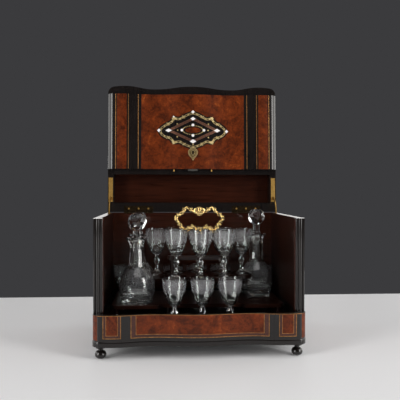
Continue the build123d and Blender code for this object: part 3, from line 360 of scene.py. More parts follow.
def front_inlays(front, outline, centres, angles, scales, lift, rings=2, sunk=0.2):
    """Copies of an outline, each a thin closed plate turned, scaled and laid over the front."""
    outline = np.array(outline, float)
    centres = np.atleast_2d(centres).astype(float)
    count, sides = len(centres), len(outline)
    angles, scales = (np.broadcast_to(np.array(given, float), count) for given in (angles, scales))
    cosine, sine = np.cos(angles), np.sin(angles)
    spin = np.stack([np.stack([cosine, -sine], -1), np.stack([sine, cosine], -1)], -2) * scales[:, None, None]
    shape = np.einsum("nij,kj->nki", spin, outline)
    reach = np.r_[np.linspace(0, 1, rings), np.linspace(1, 0, rings)]
    depth = np.r_[np.full(rings, lift), np.full(rings, -sunk)]
    flat = centres[:, None, None] + reach[None, :, None, None] * shape[:, None]
    lifts = np.broadcast_to(depth[None, :, None], flat.shape[:3])
    points = front_points(front, flat[..., 0], flat[..., 1], lifts)
    faces = grid_faces(2 * rings, sides, False, True)
    starts = np.arange(count)[:, None, None] * 2 * rings * sides
    return points.reshape(-1, 3), (faces[None] + starts).reshape(-1, 4)


def ring_shape(sides, x=1.0, z=1.0):
    """Points round an ellipse."""
    angle = circle(sides)
    return np.stack([x * np.cos(angle), z * np.sin(angle)], -1)


LOZENGE = ((1, 0), (0.5, 0.5), (0, 1), (-0.5, 0.5), (-1, 0), (-0.5, -0.5), (0, -1), (0.5, -0.5))


# ---- finishes
def per(size_mm):
    """Texture scale whose pattern repeats about every size_mm."""
    return 1 / (size_mm * MM)


def feed(node, **inputs):
    """Sets a node's sockets to values, or links them to other sockets or to other nodes' first outputs.

    i3 is the fourth socket. Any other key is the socket's name, with _ for each space.
    """
    for key, value in inputs.items():
        socket = node.inputs[int(key[1:]) if key[1:].isdigit() else key.replace("_", " ")]
        if isinstance(value, bpy.types.Node):
            value = value.outputs[0]
        if isinstance(value, bpy.types.NodeSocket):
            node.id_data.links.new(value, socket)
        else:
            socket.default_value = value
    return node


def add_node(tree, kind, settings=None, *in_order, **inputs):
    """Adds a shader node with its settings, and feeds its sockets in order and by name."""
    node = tree.nodes.new("ShaderNode" + kind)
    for key, value in (settings or {}).items():
        setattr(node, key, value)
    return feed(node, **{f"i{k}": value for k, value in enumerate(in_order)}, **inputs)


def worked_out(tree, operation, *values):
    """A math node over values."""
    return add_node(tree, "Math", {"operation": operation}, *values)


def remapped(tree, value, *spans):
    """A value carried from the first two numbers' span to the last two's, and held at its ends."""
    return add_node(tree, "MapRange", None, value, *spans)


def noise(tree, where, size_mm, **inputs):
    """Noise whose clouds are about size_mm wide."""
    return add_node(tree, "TexNoise", Vector=where, Scale=per(size_mm), **inputs)


def ramp(tree, factor, *stops):
    """A colour ramp through (place, colour) stops."""
    node = add_node(tree, "ValToRGB", None, factor)
    elements = node.color_ramp.elements
    while len(elements) < len(stops):
        elements.new(1.0)
    for element, (place, colour) in zip(elements, stops):
        element.position, element.color = place, colour
    return node


def blended(tree, factor, colour, other):
    """One colour turning into another as the factor rises."""
    return add_node(tree, "Mix", {"data_type": "RGBA"}, factor, i6=colour, i7=other).outputs[2]


def bumped(tree, strength, height):
    """A normal that follows the height, 0.2 mm deep at full strength."""
    return add_node(tree, "Bump", Strength=strength, Distance=0.2 * MM, Height=height)


def own_lengths(tree):
    """The piece's own attribute, split into its three lengths."""
    own = add_node(tree, "Attribute", {"attribute_name": "own"})
    return add_node(tree, "SeparateXYZ", None, own.outputs["Vector"])


def new_finish(name, **sockets):
    """A material and its tree, shader and object coordinates, with plain values set on the shader."""
    material = bpy.data.materials.new(name)
    material.use_nodes = True
    tree = material.node_tree
    shader = feed(tree.nodes["Principled BSDF"], **sockets)
    return material, tree, shader, add_node(tree, "TexCoord").outputs["Object"]


def colour_of(code):
    """Linear RGBA of a hex code, or of the colour setting of that name."""
    return linear(code) if code[0] == "#" else tuple(getattr(bpy.context.scene.tantalus_colours, code))


def scaled(colour, share):
    """A colour made darker or lighter."""
    return (*[min(1.0, part * share) for part in colour[:3]], 1.0)


def thuya_burl():
    """Thuya burl veneer, French polished: red-brown clouds, curling figure and dark eyes under a coat."""
    colour = colour_of("burl")
    material, tree, shader, where = new_finish(
        "thuya_burl", Roughness=0.42, Specular_IOR_Level=0.1, Coat_Weight=0.28, Coat_Roughness=0.08
    )
    clouds = noise(tree, where, 26, Detail=4.0, Distortion=1.2)
    figure = noise(tree, where, 8, Detail=9.0, Roughness=0.66, Distortion=1.8)
    both = add_node(tree, "Mix", None, 0.48, i2=clouds, i3=figure)
    tones = ((0.32, 0.2), (0.43, 0.5), (0.51, 0.85), (0.6, 1.25))
    shades = [(place, scaled(colour, k)) for place, k in tones]
    wood = ramp(tree, both, *shades, (0.72, linear("#96501c")))
    bend = (4 * MM, 4 * MM, 4 * MM)
    bent = add_node(tree, "VectorMath", {"operation": "MULTIPLY_ADD"}, figure.outputs[1], bend, where)
    eyes = add_node(tree, "TexVoronoi", Vector=bent, Scale=per(5.5))
    pupil = remapped(tree, eyes, 0.08, 0.3, 0.6, 0.0)
    patch = remapped(tree, clouds, 0.42, 0.6, 1.0, 0.0)
    dark = worked_out(tree, "MULTIPLY", pupil, patch)
    feed(shader, Base_Color=blended(tree, dark, wood, linear("#260a04")), Normal=bumped(tree, 0.05, figure))
    return material


def grained(name, shade_name, along, ring_mm, contrast, specular, coat, coat_roughness):
    """Straight-grained polished wood: noise drawn out along the grain, with fine dark pores."""
    colour = colour_of(shade_name)
    material, tree, shader, where = new_finish(
        name, Specular_IOR_Level=specular, Coat_Weight=coat, Coat_Roughness=coat_roughness
    )
    stretch = [1.0, 1.0, 1.0]
    stretch[along] = 0.07
    drawn = add_node(tree, "Mapping", Vector=where, Scale=stretch)
    grain = noise(tree, drawn, ring_mm, Detail=6.0, Roughness=0.6, Distortion=0.4)
    broad = noise(tree, where, 70, Detail=2.0)
    both = add_node(tree, "Mix", None, 0.35, i2=grain, i3=broad)
    dark, pale = scaled(colour, 1 - contrast), scaled(colour, 1 + contrast)
    wood = ramp(tree, both, (0.32, dark), (0.5, colour), (0.68, pale))
    rough = remapped(tree, grain, 0.3, 0.7, 0.26, 0.4)
    feed(shader, Base_Color=wood, Roughness=rough, Normal=bumped(tree, 0.08, grain))
    return material


# name, colour, axis of the grain, width of a ring in mm, contrast, specular, coat, the coat's roughness
WOODS = {
    # pearwood stained black and polished: nearly black, faint brown grain and a clear gloss
    "ebonised": ("ebonised_pear", "ebony", 2, 3.0, 0.45, 0.1, 0.8, 0.06),
    # mahogany lining, stained dark and polished: red-brown, its grain running across the case
    "interior_wood": ("polished_mahogany", "lining", 0, 4.0, 0.5, 0.1, 0.2, 0.12),
    # mahogany stained almost black on the caddy, and the same dark wood on the case's side walls as painted shade:
    # a trace of red in the grain and a bright polish
    "stained": ("stained_mahogany", "stained", 0, 3.0, 0.6, 0.1, 0.35, 0.1),
    # rosewood crossbanding: dark brown with near-black streaks, between the burl and the stringing
    "rosewood": ("polished_rosewood", "rosewood", 0, 2.0, 0.7, 0.25, 0.5, 0.1),
}


def metal(name, colour, dull, spot_mm, smooth, worn, dented=0.12):
    """Polished metal with a thin tarnish: patches of duller, darker metal and a roughness to match."""
    material, tree, shader, where = new_finish(name, Metallic=1.0)
    spots = noise(tree, where, spot_mm, Detail=6.0, Roughness=0.6)
    tarnish = remapped(tree, spots, 0.38, 0.66, 0.0, worn)
    skin = blended(tree, tarnish, colour_of(colour), linear(dull))
    rough = remapped(tree, spots, 0.3, 0.7, smooth, smooth + 0.18)
    feed(shader, Base_Color=skin, Roughness=rough, Normal=bumped(tree, dented, spots))
    return material


# name, colour, tarnish, size of its patches in mm, roughness where polished, how far the tarnish goes
METALS = {
    # lacquered rolled brass of the hinges and stays
    "brass": ("polished_brass", "brass", "#7a5a2a", 9, 0.36, 0.55),
    # sheet brass let into the wood and rubbed flat: duller and browner than the hinges
    "inlaid_brass": ("inlaid_brass", "#dcc590", "#8a6f42", 5, 0.42, 0.7),
    # fine brass stringing gone brown: thin warm lines that barely shine
    "string_brass": ("string_brass", "#b58350", "#5e3d20", 5, 0.4, 0.7),
    # olive-brown bronze of the keyhole plate: an old lacquer over a dull cast surface
    "aged_bronze": ("aged_bronze", "#7d6a43", "#3a2f1c", 4, 0.4, 0.8),
    # painted shade: brass made nearly black on the hinge leaves and on the stem under the handle, which lie in
    # shadow
    "dark_bronze": ("dark_bronze", "#33281a", "#15100a", 5, 0.45, 0.9),
    # thin copper-red metal lines let into the rosewood
    "polished_copper": ("polished_copper", "#b98a72", "#6b4434", 5, 0.34, 0.6),
    # filed wrought steel of the lock
    "steel": ("filed_steel", "#8d8a86", "#4b4742", 4, 0.34, 0.7),
}


def gilt_bronze():
    """Cast bronze, mercury gilt and burnished on its high places, with painted shade: dark brown laid into the
    hollows.

    The piece's own attribute gives the strength of the painted shade as its first length, 0 on the crests and 1 mm
    where it is fullest.
    """
    material = metal("gilt_bronze", "gilt", "#b98a48", 2.4, 0.09, 0.34, dented=0.5)
    tree = material.node_tree
    shader = tree.nodes["Principled BSDF"]
    gold = shader.inputs["Base Color"].links[0].from_socket
    # painted shade: the gold turns near-black brown where the piece's painted shade is strong
    painted_shade = remapped(tree, own_lengths(tree), 0.18 * MM, 0.75 * MM, 0.0, 0.95)
    feed(shader, Base_Color=blended(tree, painted_shade, gold, linear("#321a06")))
    return material


def mother_of_pearl():
    """Nacre: milky white with faint pink, green and blue bands and a silky gloss."""
    colour = colour_of("pearl")
    material, tree, shader, where = new_finish(
        "mother_of_pearl", Roughness=0.22, Coat_Weight=0.7, Coat_Roughness=0.08
    )
    bands = add_node(tree, "TexWave", Vector=where, Scale=per(9))
    feed(bands, Distortion=7.0, Detail=3.0, Detail_Scale=1.4)
    pink, green, blue = map(linear, ("#f3dfe2", "#dfe9e4", "#e2e4f1"))
    stops = ((0.0, pink), (0.3, colour), (0.55, green), (0.8, blue), (1.0, colour))
    feed(shader, Base_Color=ramp(tree, bands.outputs[1], *stops))
    return material


def cut_crystal(name, lines=(), lace=None, around=36, row_mm=3.4, bloomed=0.12):
    """Lead crystal, cut and polished, wheel-engraved with matt rings and a lace of small florets.

    lines gives (height, half width) of each ring and lace (height, half height) of the floret band, in
    millimetres up the piece; around florets stand in each row, at the angle of the piece's own x and y.
    """
    material, tree, shader, _ = new_finish(
        name, Base_Color=colour_of("crystal"), IOR=1.54, Transmission_Weight=1.0, Roughness=0.0
    )
    if not lines:
        return material
    x, y, up = own_lengths(tree).outputs
    column = worked_out(tree, "MULTIPLY", worked_out(tree, "ARCTAN2", y, x), around / (2 * pi))
    cells = add_node(tree, "CombineXYZ", None, column, worked_out(tree, "MULTIPLY", up, per(row_mm)))
    flat = {"voronoi_dimensions": "2D"}
    florets = add_node(tree, "TexVoronoi", flat, Vector=cells, Scale=1.0, Randomness=0.0)
    bloom = remapped(tree, florets, 0.2, 0.5, bloomed, 0.008)
    belts = (lace, *lines)
    band, *rings = (worked_out(tree, "COMPARE", up, height * MM, half * MM) for height, half in belts)
    frost = worked_out(tree, "MULTIPLY", band, bloom)
    for ring in rings:
        frost = worked_out(tree, "MAXIMUM", frost, worked_out(tree, "MULTIPLY", ring, 0.16))
    ground = add_node(tree, "BsdfDiffuse", Color=linear("#ece8ee"), Roughness=0.6)
    feed(tree.nodes["Material Output"], Surface=add_node(tree, "MixShader", None, frost, shader, ground))
    return material


GLASS_LINES = ((82.0, 0.35), (79.6, 0.3), (63.0, 0.35))
DECANTER_LINES = ((60.0, 0.35), (12.5, 0.35))
MAKERS = {
    "burl": (thuya_burl,),
    "gilt": (gilt_bronze,),
    "pearl": (mother_of_pearl,),
    "glass": (cut_crystal, "engraved_crystal", GLASS_LINES, (71.5, 7.4)),
    "decanter": (cut_crystal, "engraved_decanter_crystal", DECANTER_LINES, (36.5, 23.0), 40, 4.4, 0.07),
    "stopper": (cut_crystal, "clear_crystal"),
    **{look: (grained, *row) for look, row in WOODS.items()},
    **{look: (metal, *row) for look, row in METALS.items()},
}
FINISHES = {}

# the record's slot of each look that is not named after its slot
BRASSES = ("inlaid_brass", "string_brass", "aged_bronze", "polished_copper")
SLOTS = {"rosewood": "burl", "decanter": "glass", "stopper": "glass", **dict.fromkeys(BRASSES, "brass")}


def finish(look):
    """Makes a finish the first time it is asked for."""
    if look not in FINISHES:
        maker, *values = MAKERS[look]
        FINISHES[look] = maker(*values)
    return FINISHES[look]


# ---- operators
class TANTALUS_OT_carried_nodes(bpy.types.Operator):
    """Gives every solid that stays visible its finish"""

    bl_idname = "tantalus.carried_nodes"
    bl_label = "Finish the solids"

    def execute(self, context):
        looks = {s["node"]: s["material_slot"] for s in frame["record"]["subparts"]}
        for look, nodes in (
            ("ebonised", "base_rails base_front_rail front_panel lid_front lid_top_board"),
            ("ebonised", "lid_side_rims lid_back_rim feet"),
            ("interior_wood", "back_wall"),
            # the side walls take the caddy's near-black stained wood as painted shade
            ("stained", "handle_rail caddy_pillars decanter_board caddy_lower_board glass_shelf side_walls"),
            # the hinge leaves and the handle's stem take near-black bronze as painted shade
            ("dark_bronze", "case_hinge_leaves lid_hinge_leaves handle_stem"),
            ("brass", "stay_lid_plates"),
        ):
            looks.update(dict.fromkeys(nodes.split(), look))
        for name, node in frame["nodes"].items():
            node.data.materials.clear()
            node.data.materials.append(finish(looks[name]))
        return {"FINISHED"}


def extruded(levels):
    """A closed board from (outline, z) levels, with its two ends capped."""
    rings = np.stack([np.column_stack([ring, np.full(len(ring), z)]) for ring, z in levels])
    count = rings.shape[1]
    faces = grid_faces(len(levels), count, False, True)
    return rings, faces, (range(count)[::-1], range(count * (len(levels) - 1), count * len(levels)))


def board_outline(crest, back, grow):
    """Serpentine front and square back, grown outwards."""
    front = serpentine(crest, grow, 241)[:, :2]
    edge = HALF + grow
    return np.vstack([front, [[edge, back], [-edge, back]]])


FOOT_R = 9.8
FOOT = (
    (0, 0.0), (4.4, 0.0), (8.2, 2.2), (9.7, 6.4), (8.0, 11.0), (4.6, 13.6), (4.1, 15.0), (6.2, 16.4),
    (8.4, 17.4), (8.8, 18.6), (8.2, 20.0), (8.8, 21.0), (8.8, 22.6), (0, 22.6),
)


class TANTALUS_OT_plinth(bpy.types.Operator):
    """Ebonised plinth with eased edges, and the four turned feet"""

    bl_idname = "tantalus.plinth"
    bl_label = "Plinth and feet"

    def execute(self, context):
        z0, z1 = low("plinth_board")[2], high("plinth_board")[2]
        back = BACK_Y - POSTS_Y
        foot = ((0.3, z0), (0.8, z0 + 0.3), (1.0, z0 + 1.0))
        head = ((1.0, z1 - 2.4), (0.7, z1 - 1.5), (0.2, z1 - 1.0), (0.15, z1))
        points, faces, caps = extruded([(board_outline(CREST, back, grow), z) for grow, z in foot + head])
        piece = finish_piece("plinth", (placed(CASE, points), faces), "case", "ebonised", caps=caps)
        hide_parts("plinth_board")

        (_, y0, _), (x1, y1, _) = low("feet") + FOOT_R, high("feet") - FOOT_R
        r, z = np.maximum(smooth_line(FOOT, 6), 0).T[..., None]
        turned = revolved(r, circle(32), z)
        faces = grid_faces(*turned.shape[:2], False, True)
        spots = [(x, y, 0) for x in (-x1, x1) for y in (y0, y1)]
        feet = finish_piece("turned_feet", [(turned + spot, faces) for spot in spots], "case", "ebonised")
        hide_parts("feet")
        return {"FINISHED"}


# how far each layer stands out from the black veneer
BAND_UP, BURL_UP, STRING_UP = 0.05, 0.06, 0.12
# left edge, right edge and crossband's width of each panel on the base, and its two end strips
BASE_FIELDS = ((-162.0, -133.0, 4.8), (-116.0, 116.0, 8.3), (133.0, 162.0, 4.8))
END_X, END_HALF = 175.6, 4.2
# edges of each burl band on the folding front, and its lines from the middle
FOLD_BURLS = ((-160.5, -139.5), (-109.5, 109.5), (139.5, 160.5))
FOLD_STRINGS = (162.8, 136.2, 115.6)


class TANTALUS_OT_base_veneer(bpy.types.Operator):
    """Burl panels, crossbanding lines and brass stringing on the base's serpentine front"""

    bl_idname = "tantalus.base_veneer"
    bl_label = "Base veneers"

    def execute(self, context):
        sizes = context.scene.tantalus_sizes
        lift, width = sizes.veneer, sizes.string
        z0, z1 = RAIL_Z + 4.6, WALL_Z - 0.6
        ebony = front_sheet(BASE, -HALF - 1, HALF + 1, RAIL_Z, WALL_Z - 0.2, lift)
        burl, bands, strings, lines = [], [], [], []
        for x0, x1, band in BASE_FIELDS:
            a, b, foot = x0 + band, x1 - band, z0 + min(band, 5.0)
            burl.append(front_sheet(BASE, a, b, foot, z1, lift + BURL_UP))
            for strip in ((x0, a, z0, z1), (b, x1, z0, z1), (a, b, z0, foot)):
                bands.append(front_sheet(BASE, *strip, lift + BAND_UP))
            for brass, left, right, z, share in ((strings, x0, x1, z0, 1.2), (lines, a, b, foot, 0.9)):
                path = dense(((left, z1), (left, z), (right, z), (right, z1)), 3)
                brass.append(front_ribbon(BASE, path, width * share, lift + STRING_UP))
        for x in (-END_X, END_X):
            burl.append(front_sheet(BASE, x - END_HALF, x + END_HALF, RAIL_Z + 1, z1, lift + BURL_UP))
        rim = dense(((-HALF + 1.5, WALL_Z - 0.75), (HALF - 1.5, WALL_Z - 0.75)), 3)
        strings.append(front_ribbon(BASE, rim, 0.8, lift + 0.1))
        finish_piece("base_ebony", ebony, "case", "ebonised")
        finish_piece("base_burl", burl, "case", "burl")
        finish_piece("base_crossbands", bands, "case", "rosewood")
        finish_piece("base_stringing", strings, "case", "string_brass")
        finish_piece("base_inner_lines", lines, "case", "string_brass")
        return {"FINISHED"}


class TANTALUS_OT_panel_veneer(bpy.types.Operator):
    """Vertical bands of burl, ebonised wood and stringing on the folding front"""

    bl_idname = "tantalus.panel_veneer"
    bl_label = "Front veneers"

    def execute(self, context):
        sizes = context.scene.tantalus_sizes
        lift, z0, z1 = sizes.veneer, WALL_Z - TOP_Z + 0.4, -0.4
        finish_piece("front_ebony", front_sheet(FOLD, -HALF - 1, HALF + 1, z0, z1, lift), "front", "ebonised")
        foot, head = z0 + 0.2, z1 - 0.2
        burl = [front_sheet(FOLD, x0, x1, foot, head, lift + BURL_UP) for x0, x1 in FOLD_BURLS]
        finish_piece("front_burl", burl, "front", "burl")
        places = [side * x for side in (-1, 1) for x in FOLD_STRINGS]
        paths = [dense(((x, foot), (x, head)), 8) for x in places]
        strings = [front_ribbon(FOLD, path, sizes.string * 1.3, lift + STRING_UP) for path in paths]
        finish_piece("front_stringing", strings, "front", "string_brass")
        return {"FINISHED"}


# shares of the cartouche's half width and half height, down its right side
CARTOUCHE = (
    (0, 0.94), (0.14, 0.87), (0.285, 0.73), (0.42, 0.62), (0.56, 0.64), (0.66, 0.44), (0.8, 0.31),
    (0.93, 0.15), (0.985, -0.03), (0.94, -0.22), (0.81, -0.37), (0.68, -0.44), (0.57, -0.66), (0.41, -0.64),
    (0.27, -0.78), (0.13, -0.89), (0, -0.95),
)
LEAF = ((0, 0), (0.25, 0.16), (0.55, 0.17), (0.8, 0.09), (1, 0), (0.8, -0.09), (0.55, -0.17), (0.25, -0.16))
CROSSINGS = 34  # of the scroll's two stems
ROSETTES = ((0.29, 0.74), (0.76, 0.35), (0.27, -0.78), (0.75, -0.4))
ROSETTE_TILTS = (0.6, 2.2, 3.74, 5.34)
FANS = ((0.63, 1.1), (-0.65, -1.1))  # height and heading
FAN_X = 0.57
PETALS = (-1.5, -0.75, 0, 0.75, 1.5)
STUDS = ((-0.475, 0.35), (0.47, 0.35), (-0.475, -0.37), (0.47, -0.4), (0.46, 0), (-0.46, 0))
RHOMB = ((0.74, 0), (0, 0.645), (-0.74, 0), (0, -0.645))
# half widths and half heights of the burl oval and of the ring of beads round it, in millimetres
OVAL, BEAD_RING = (16.5, 6.2), (21.8, 9.4)
# how far each layer of the marquetry stands out
GROUND_UP, ROSEWOOD_UP, OVAL_UP, PALE_UP = 0.1, 0.13, 0.16, 0.17
STEM_UP, LEAF_UP, PETAL_UP, PEARL_UP = 0.18, 0.2, 0.22, 0.24


class TANTALUS_OT_marquetry(bpy.types.Operator):
    """The cartouche: black ground, brass scrolls, rosewood lozenge, pearl plates and a burl oval"""

    bl_idname = "tantalus.marquetry"
    bl_label = "Marquetry cartouche"

    def execute(self, context):
        sizes = context.scene.tantalus_sizes
        half, band, lift = np.array([sizes.cartouche_x, sizes.cartouche_z]), sizes.scroll, sizes.veneer
        middle = np.array([0.0, -sizes.cartouche_drop])
        way = closed_line(mirrored(CARTOUCHE) * half, 20)
        out = spans_and_sides(way)[1]
        rim = (way + out * (band / 2 + 2.6))[::4]
        ground = front_inlays(FOLD, rim, middle, 0, 1, lift + GROUND_UP, rings=14)
        piece = finish_piece("cartouche_ground", ground, "front", "ebonised")
        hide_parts("marquetry_ground")

        # the scroll: two stems that cross in even waves about the way, and four leaves at every crossing
        along = np.r_[0, np.cumsum(np.hypot(*np.diff(way, axis=0).T))]
        marks = np.linspace(0, along[-1], 900, endpoint=False)
        fine, away = (np.stack([np.interp(marks, along, v[:, k]) for k in (0, 1)], -1) for v in (way, out))
        swing = away * (np.sin(marks / along[-1] * CROSSINGS * pi) * band * 0.33)[:, None]
        stems = (middle + fine - swing, middle + fine + swing)
        brass = [front_ribbon(FOLD, stem, 0.9, lift + STEM_UP, closed=True) for stem in stems]

        def inlay(shape, places, angles, scales, up):
            """Lets copies of a shape into the ground as brass, at places from the cartouche's middle."""
            brass.append(front_inlays(FOLD, shape, middle + places, angles, scales, lift + up))

        leaf = np.array(LEAF)
        at = (np.arange(CROSSINGS) * len(fine) / CROSSINGS).astype(int)
        heading = np.arctan2(away[at, 1], away[at, 0])
        for turn in (pi, 0):
            for lean in (-0.55, 0.55):
                inlay(leaf, fine[at], heading + lean + turn, band * 0.64, LEAF_UP)
        for side in (-1, 1):
            for x, z in ROSETTES:
                for tilt in ROSETTE_TILTS:
                    inlay(leaf, (side * x, z) * half, tilt, 4.6, PETAL_UP)
            for z, aim in FANS:
                for petal in PETALS:
                    angle = aim + petal if side > 0 else pi - aim - petal
                    inlay(leaf * (1, 1.5), (side * FAN_X, z) * half, angle, 6.2 - abs(petal), PETAL_UP)
        inlay(ring_shape(8), ring_shape(30, *BEAD_RING), 0, 1.15, STEM_UP)
        inlay(ring_shape(10), STUDS * half, 0, 1.5, STEM_UP)
        inlay(leaf * (1, 1.6), (0, -0.74) * half, -pi / 2, 5.0, LEAF_UP)
        finish_piece("cartouche_brass", brass, "front", "inlaid_brass")
        edges = [dense(middle + RHOMB * half * share, 3, True) for share in (1.07, 0.98, 0.89)]
        pale = [front_ribbon(FOLD, edge, 0.65, lift + PALE_UP, closed=True) for edge in edges]
        finish_piece("cartouche_pale_lines", pale, "front", "polished_copper")
        rosewood = front_ribbon(FOLD, edges[1], 5.2, lift + ROSEWOOD_UP, closed=True)
        finish_piece("cartouche_rosewood", rosewood, "front", "rosewood")
        eye = front_inlays(FOLD, ring_shape(40, *OVAL), middle, 0, 1, lift + OVAL_UP, rings=6)
        finish_piece("cartouche_burl", eye, "front", "burl")

        diamond = np.array(LOZENGE)
        plates = (
            (diamond * (7.0, 3.9), ((0.735, 0), (-0.735, 0))),
            (diamond * (5.6, 3.7), ((0, 0.64),)),
            (diamond * (7.0, 4.3), ((0, -0.63),)),
            (diamond * (3.8, 3.8), ((1.03, -0.04), (-1.03, 0), (0, 1.02))),
            (ring_shape(16) * 2.9, ((0.335, 0), (-0.335, 0), (0, 0.29), (0, -0.3))),
            (ring_shape(12) * 1.7, ((-0.585, 0.76),)),
        )
        up = lift + PEARL_UP
        pearls = [front_inlays(FOLD, shape, middle + at * half, 0, 1, up) for shape, at in plates]
        finish_piece("cartouche_pearl", pearls, "front", "pearl")
        return {"FINISHED"}


# right halves of the keyhole's plate and of the hole
DROP = (
    (0, 10.6), (4.2, 10.0), (6.6, 7.4), (9.4, 5.0), (10.1, 0.5), (8.8, -4.4), (6.2, -8.4), (3.2, -11.4),
    (0, -16.4),
)
KEYHOLE = ((0, 4.0), (1.5, 3.5), (2.1, 1.8), (1.3, 0.2), (1.6, -5.4), (0, -5.8))
KEY_Z = -125.0  # its middle on the folding front
# the plate's raised rims: height of the middle, share of the plate, width, how proud
RIMS = ((0, 0.95, 1.1, 0.4), (-0.3, 0.72, 0.7, 0.34), (0.4, 0.4, 0.8, 0.32))


class TANTALUS_OT_escutcheon(bpy.types.Operator):
    """Drop-shaped keyhole plate with a raised rim, and a black plate in the keyhole as painted shade of the hole
    """

    bl_idname = "tantalus.escutcheon"
    bl_label = "Keyhole escutcheon"

    def execute(self, context):
        lift, middle = context.scene.tantalus_sizes.veneer, np.array([0.0, KEY_Z])
        drop, hole = closed_line(mirrored(DROP), 6), closed_line(mirrored(KEYHOLE), 4)
        plate = front_inlays(FOLD, drop, middle, 0, 0.97, lift + 0.22, rings=4)
        piece = finish_piece("keyhole_plate", plate, "front", "aged_bronze")
        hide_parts("escutcheon")
        rims = [front_ribbon(FOLD, middle + (0, z) + drop * share, width, lift + up, closed=True)
                for z, share, width, up in RIMS]
        finish_piece("keyhole_rims", rims, "front", "inlaid_brass")
        # painted shade: a black plate stands in the keyhole where the shaded hole would be
        finish_piece("keyhole", front_inlays(FOLD, hole, middle, 0, 1.0, lift + 0.27), "front", "ebonised")
        return {"FINISHED"}


POST_WIDTH = 15.5
# a post's section: distance from the case's side and depth behind its face
BEAD_MIDDLE, BEAD_SIZE = (7.6, 2.4), (3.2, 2.3)
GROOVE_OUT = ((0, 2.0), (0.8, 0.9), (2.6, 0.7), (3.6, 1.2), (3.9, 2.0))
GROOVE_IN = ((11.3, 2.0), (11.6, 1.2), (12.4, 0.7), (14.6, 0.9), (POST_WIDTH, 1.6))
FILLET_WIDTH = 1.2


class TANTALUS_OT_posts(bpy.types.Operator):
    """Ebonised corner posts: a round bead between two grooves, and a thin rosewood fillet inside"""

    bl_idname = "tantalus.posts"
    bl_label = "Corner posts"

    def execute(self, context):
        (_, y0, z0), (_, y1, z1) = low("front_posts"), high("front_posts")
        depth, turn = y1 - y0, np.linspace(0, pi, 17)
        bead = BEAD_MIDDLE - BEAD_SIZE * np.stack([np.cos(turn), np.sin(turn)], -1)
        inwards = np.vstack([(0, depth), GROOVE_OUT, bead, GROOVE_IN, (POST_WIDTH, depth)])
        profile = (HALF, 0) + inwards * (-1, 1)
        rings, faces, caps = extruded([(profile, z0), (profile, z1)])
        count = rings.size // 3
        both = np.concatenate([rings.reshape(-1, 3), rings.reshape(-1, 3) * (-1, 1, 1)])
        faces = np.vstack([faces, faces[:, ::-1] + count])
        caps = [*caps, *[[i + count for i in cap] for cap in caps]]
        piece = finish_piece("corner_posts", (placed(CASE, both), faces), "case", "ebonised", caps=caps)
        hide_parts("front_posts")
        x, y0, y1 = HALF - POST_WIDTH, depth - 5, depth - 1
        fillet = np.array([[x - FILLET_WIDTH, y0], [x, y0], [x, y1], [x - FILLET_WIDTH, y1]])
        parts = []
        for side in (-1, 1):
            strip, walls, ends = extruded([(fillet * (side, 1), z) for z in (z0, z1)])
            parts.append((placed(CASE, strip), np.vstack([walls, *[[list(end)] for end in ends]])))
        finish_piece("post_fillets", parts, "case", "rosewood")
        return {"FINISHED"}


def flat_field(wall, corners, lift, sunk=0.25):
    """A flat upright sheet. A wall is the axes across and through it, its place and its outer side."""
    across, through, place, side = wall
    a0, b0, a1, b1 = corners
    a, b = np.meshgrid(np.linspace(a0, a1, 3), np.linspace(b0, b1, 3), indexing="ij")
    layers = np.zeros((2, 3, 3, 3))
    for layer, depth in zip(layers, (place + side * lift, place - side * sunk)):
        layer[..., across], layer[..., 2], layer[..., through] = a, b, depth
    return slab(*layers)


def flat_frame(wall, corners, width, lift):
    """Four thin strips round a rectangle, butted at the corners."""
    a0, b0, a1, b1 = corners
    foot, head = b0 + width, b1 - width
    across = ((a0, b0, a1, foot), (a0, head, a1, b1))
    upright = ((a0, foot, a0 + width, head), (a1 - width, foot, a1, head))
    return joined([flat_field(wall, strip, lift) for strip in across + upright])


class TANTALUS_OT_case_veneer(bpy.types.Operator):
    """Veneers on the case's sides and back: burl fields, ebonised borders, brass stringing"""

    bl_idname = "tantalus.case_veneer"
    bl_label = "Case veneers"

    def execute(self, context):
        sizes = context.scene.tantalus_sizes
        lift, border, edge = sizes.veneer, 14, 16
        front, back, foot, x = POSTS_Y + 10.2, BACK_Y - border, WALL_Z + border, HALF - edge
        fields = []  # each wall, the corners of its border and the corners of its burl
        for side in (-1, 1):
            wall = (1, 0, side * HALF, side)
            upper = (front, WALL_Z + 0.2, BACK_Y, TOP_Z - 0.1), (front + 12, foot, back, TOP_Z - border)
            lower = (POSTS_Y + 5, RAIL_Z, BACK_Y, WALL_Z), (POSTS_Y + 18, RAIL_Z + 5, back, WALL_Z - 5)
            fields += [(wall, *upper), (wall, *lower)]
        fields.append(((0, 1, BACK_Y, 1), (-HALF, RAIL_Z, HALF, TOP_Z - 4), (-x, foot, x, TOP_Z - edge)))
        ebony = [flat_field(wall, whole, lift) for wall, whole, _ in fields]
        burl = [flat_field(wall, field, lift + BURL_UP) for wall, _, field in fields]
        strings = [flat_frame(wall, field, sizes.string, lift + STRING_UP) for wall, _, field in fields]
        finish_piece("case_ebony", ebony, "case", "ebonised")
        finish_piece("case_burl", burl, "case", "burl")
        finish_piece("case_stringing", strings, "case", "string_brass")
        return {"FINISHED"}


def lid_sheet(crest, inset, y_back, z, lift, sunk=0.2):
    """A sheet on the lid whose front edge follows the serpentine; rows run from the back to the front."""
    line = serpentine(crest, -inset, 241)
    x, front = line[:, 0], line[:, 1]
    inside = np.abs(x) <= HALF - inset - 0.01
    x, front = x[inside], front[inside]
    t = np.linspace(0, 1, 9)[:, None]
    y = y_back * (1 - t) + front * t
    x = np.broadcast_to(x, y.shape)
    layers = [placed(LID, np.stack([x, y, np.full(y.shape, z + d)], -1)) for d in (lift, -sunk)]
    return slab(*layers), (x, y)


LID_TOP = 35.2  # height of the lid's outer face above its hinge line
LID_GAP = 3.0  # how far the lid's front passes the folding front
LINING_X, LINING_Y, LINING_Z = (-166.9, 166.9), (-22.0, -240.6), (26.4, 26.9)


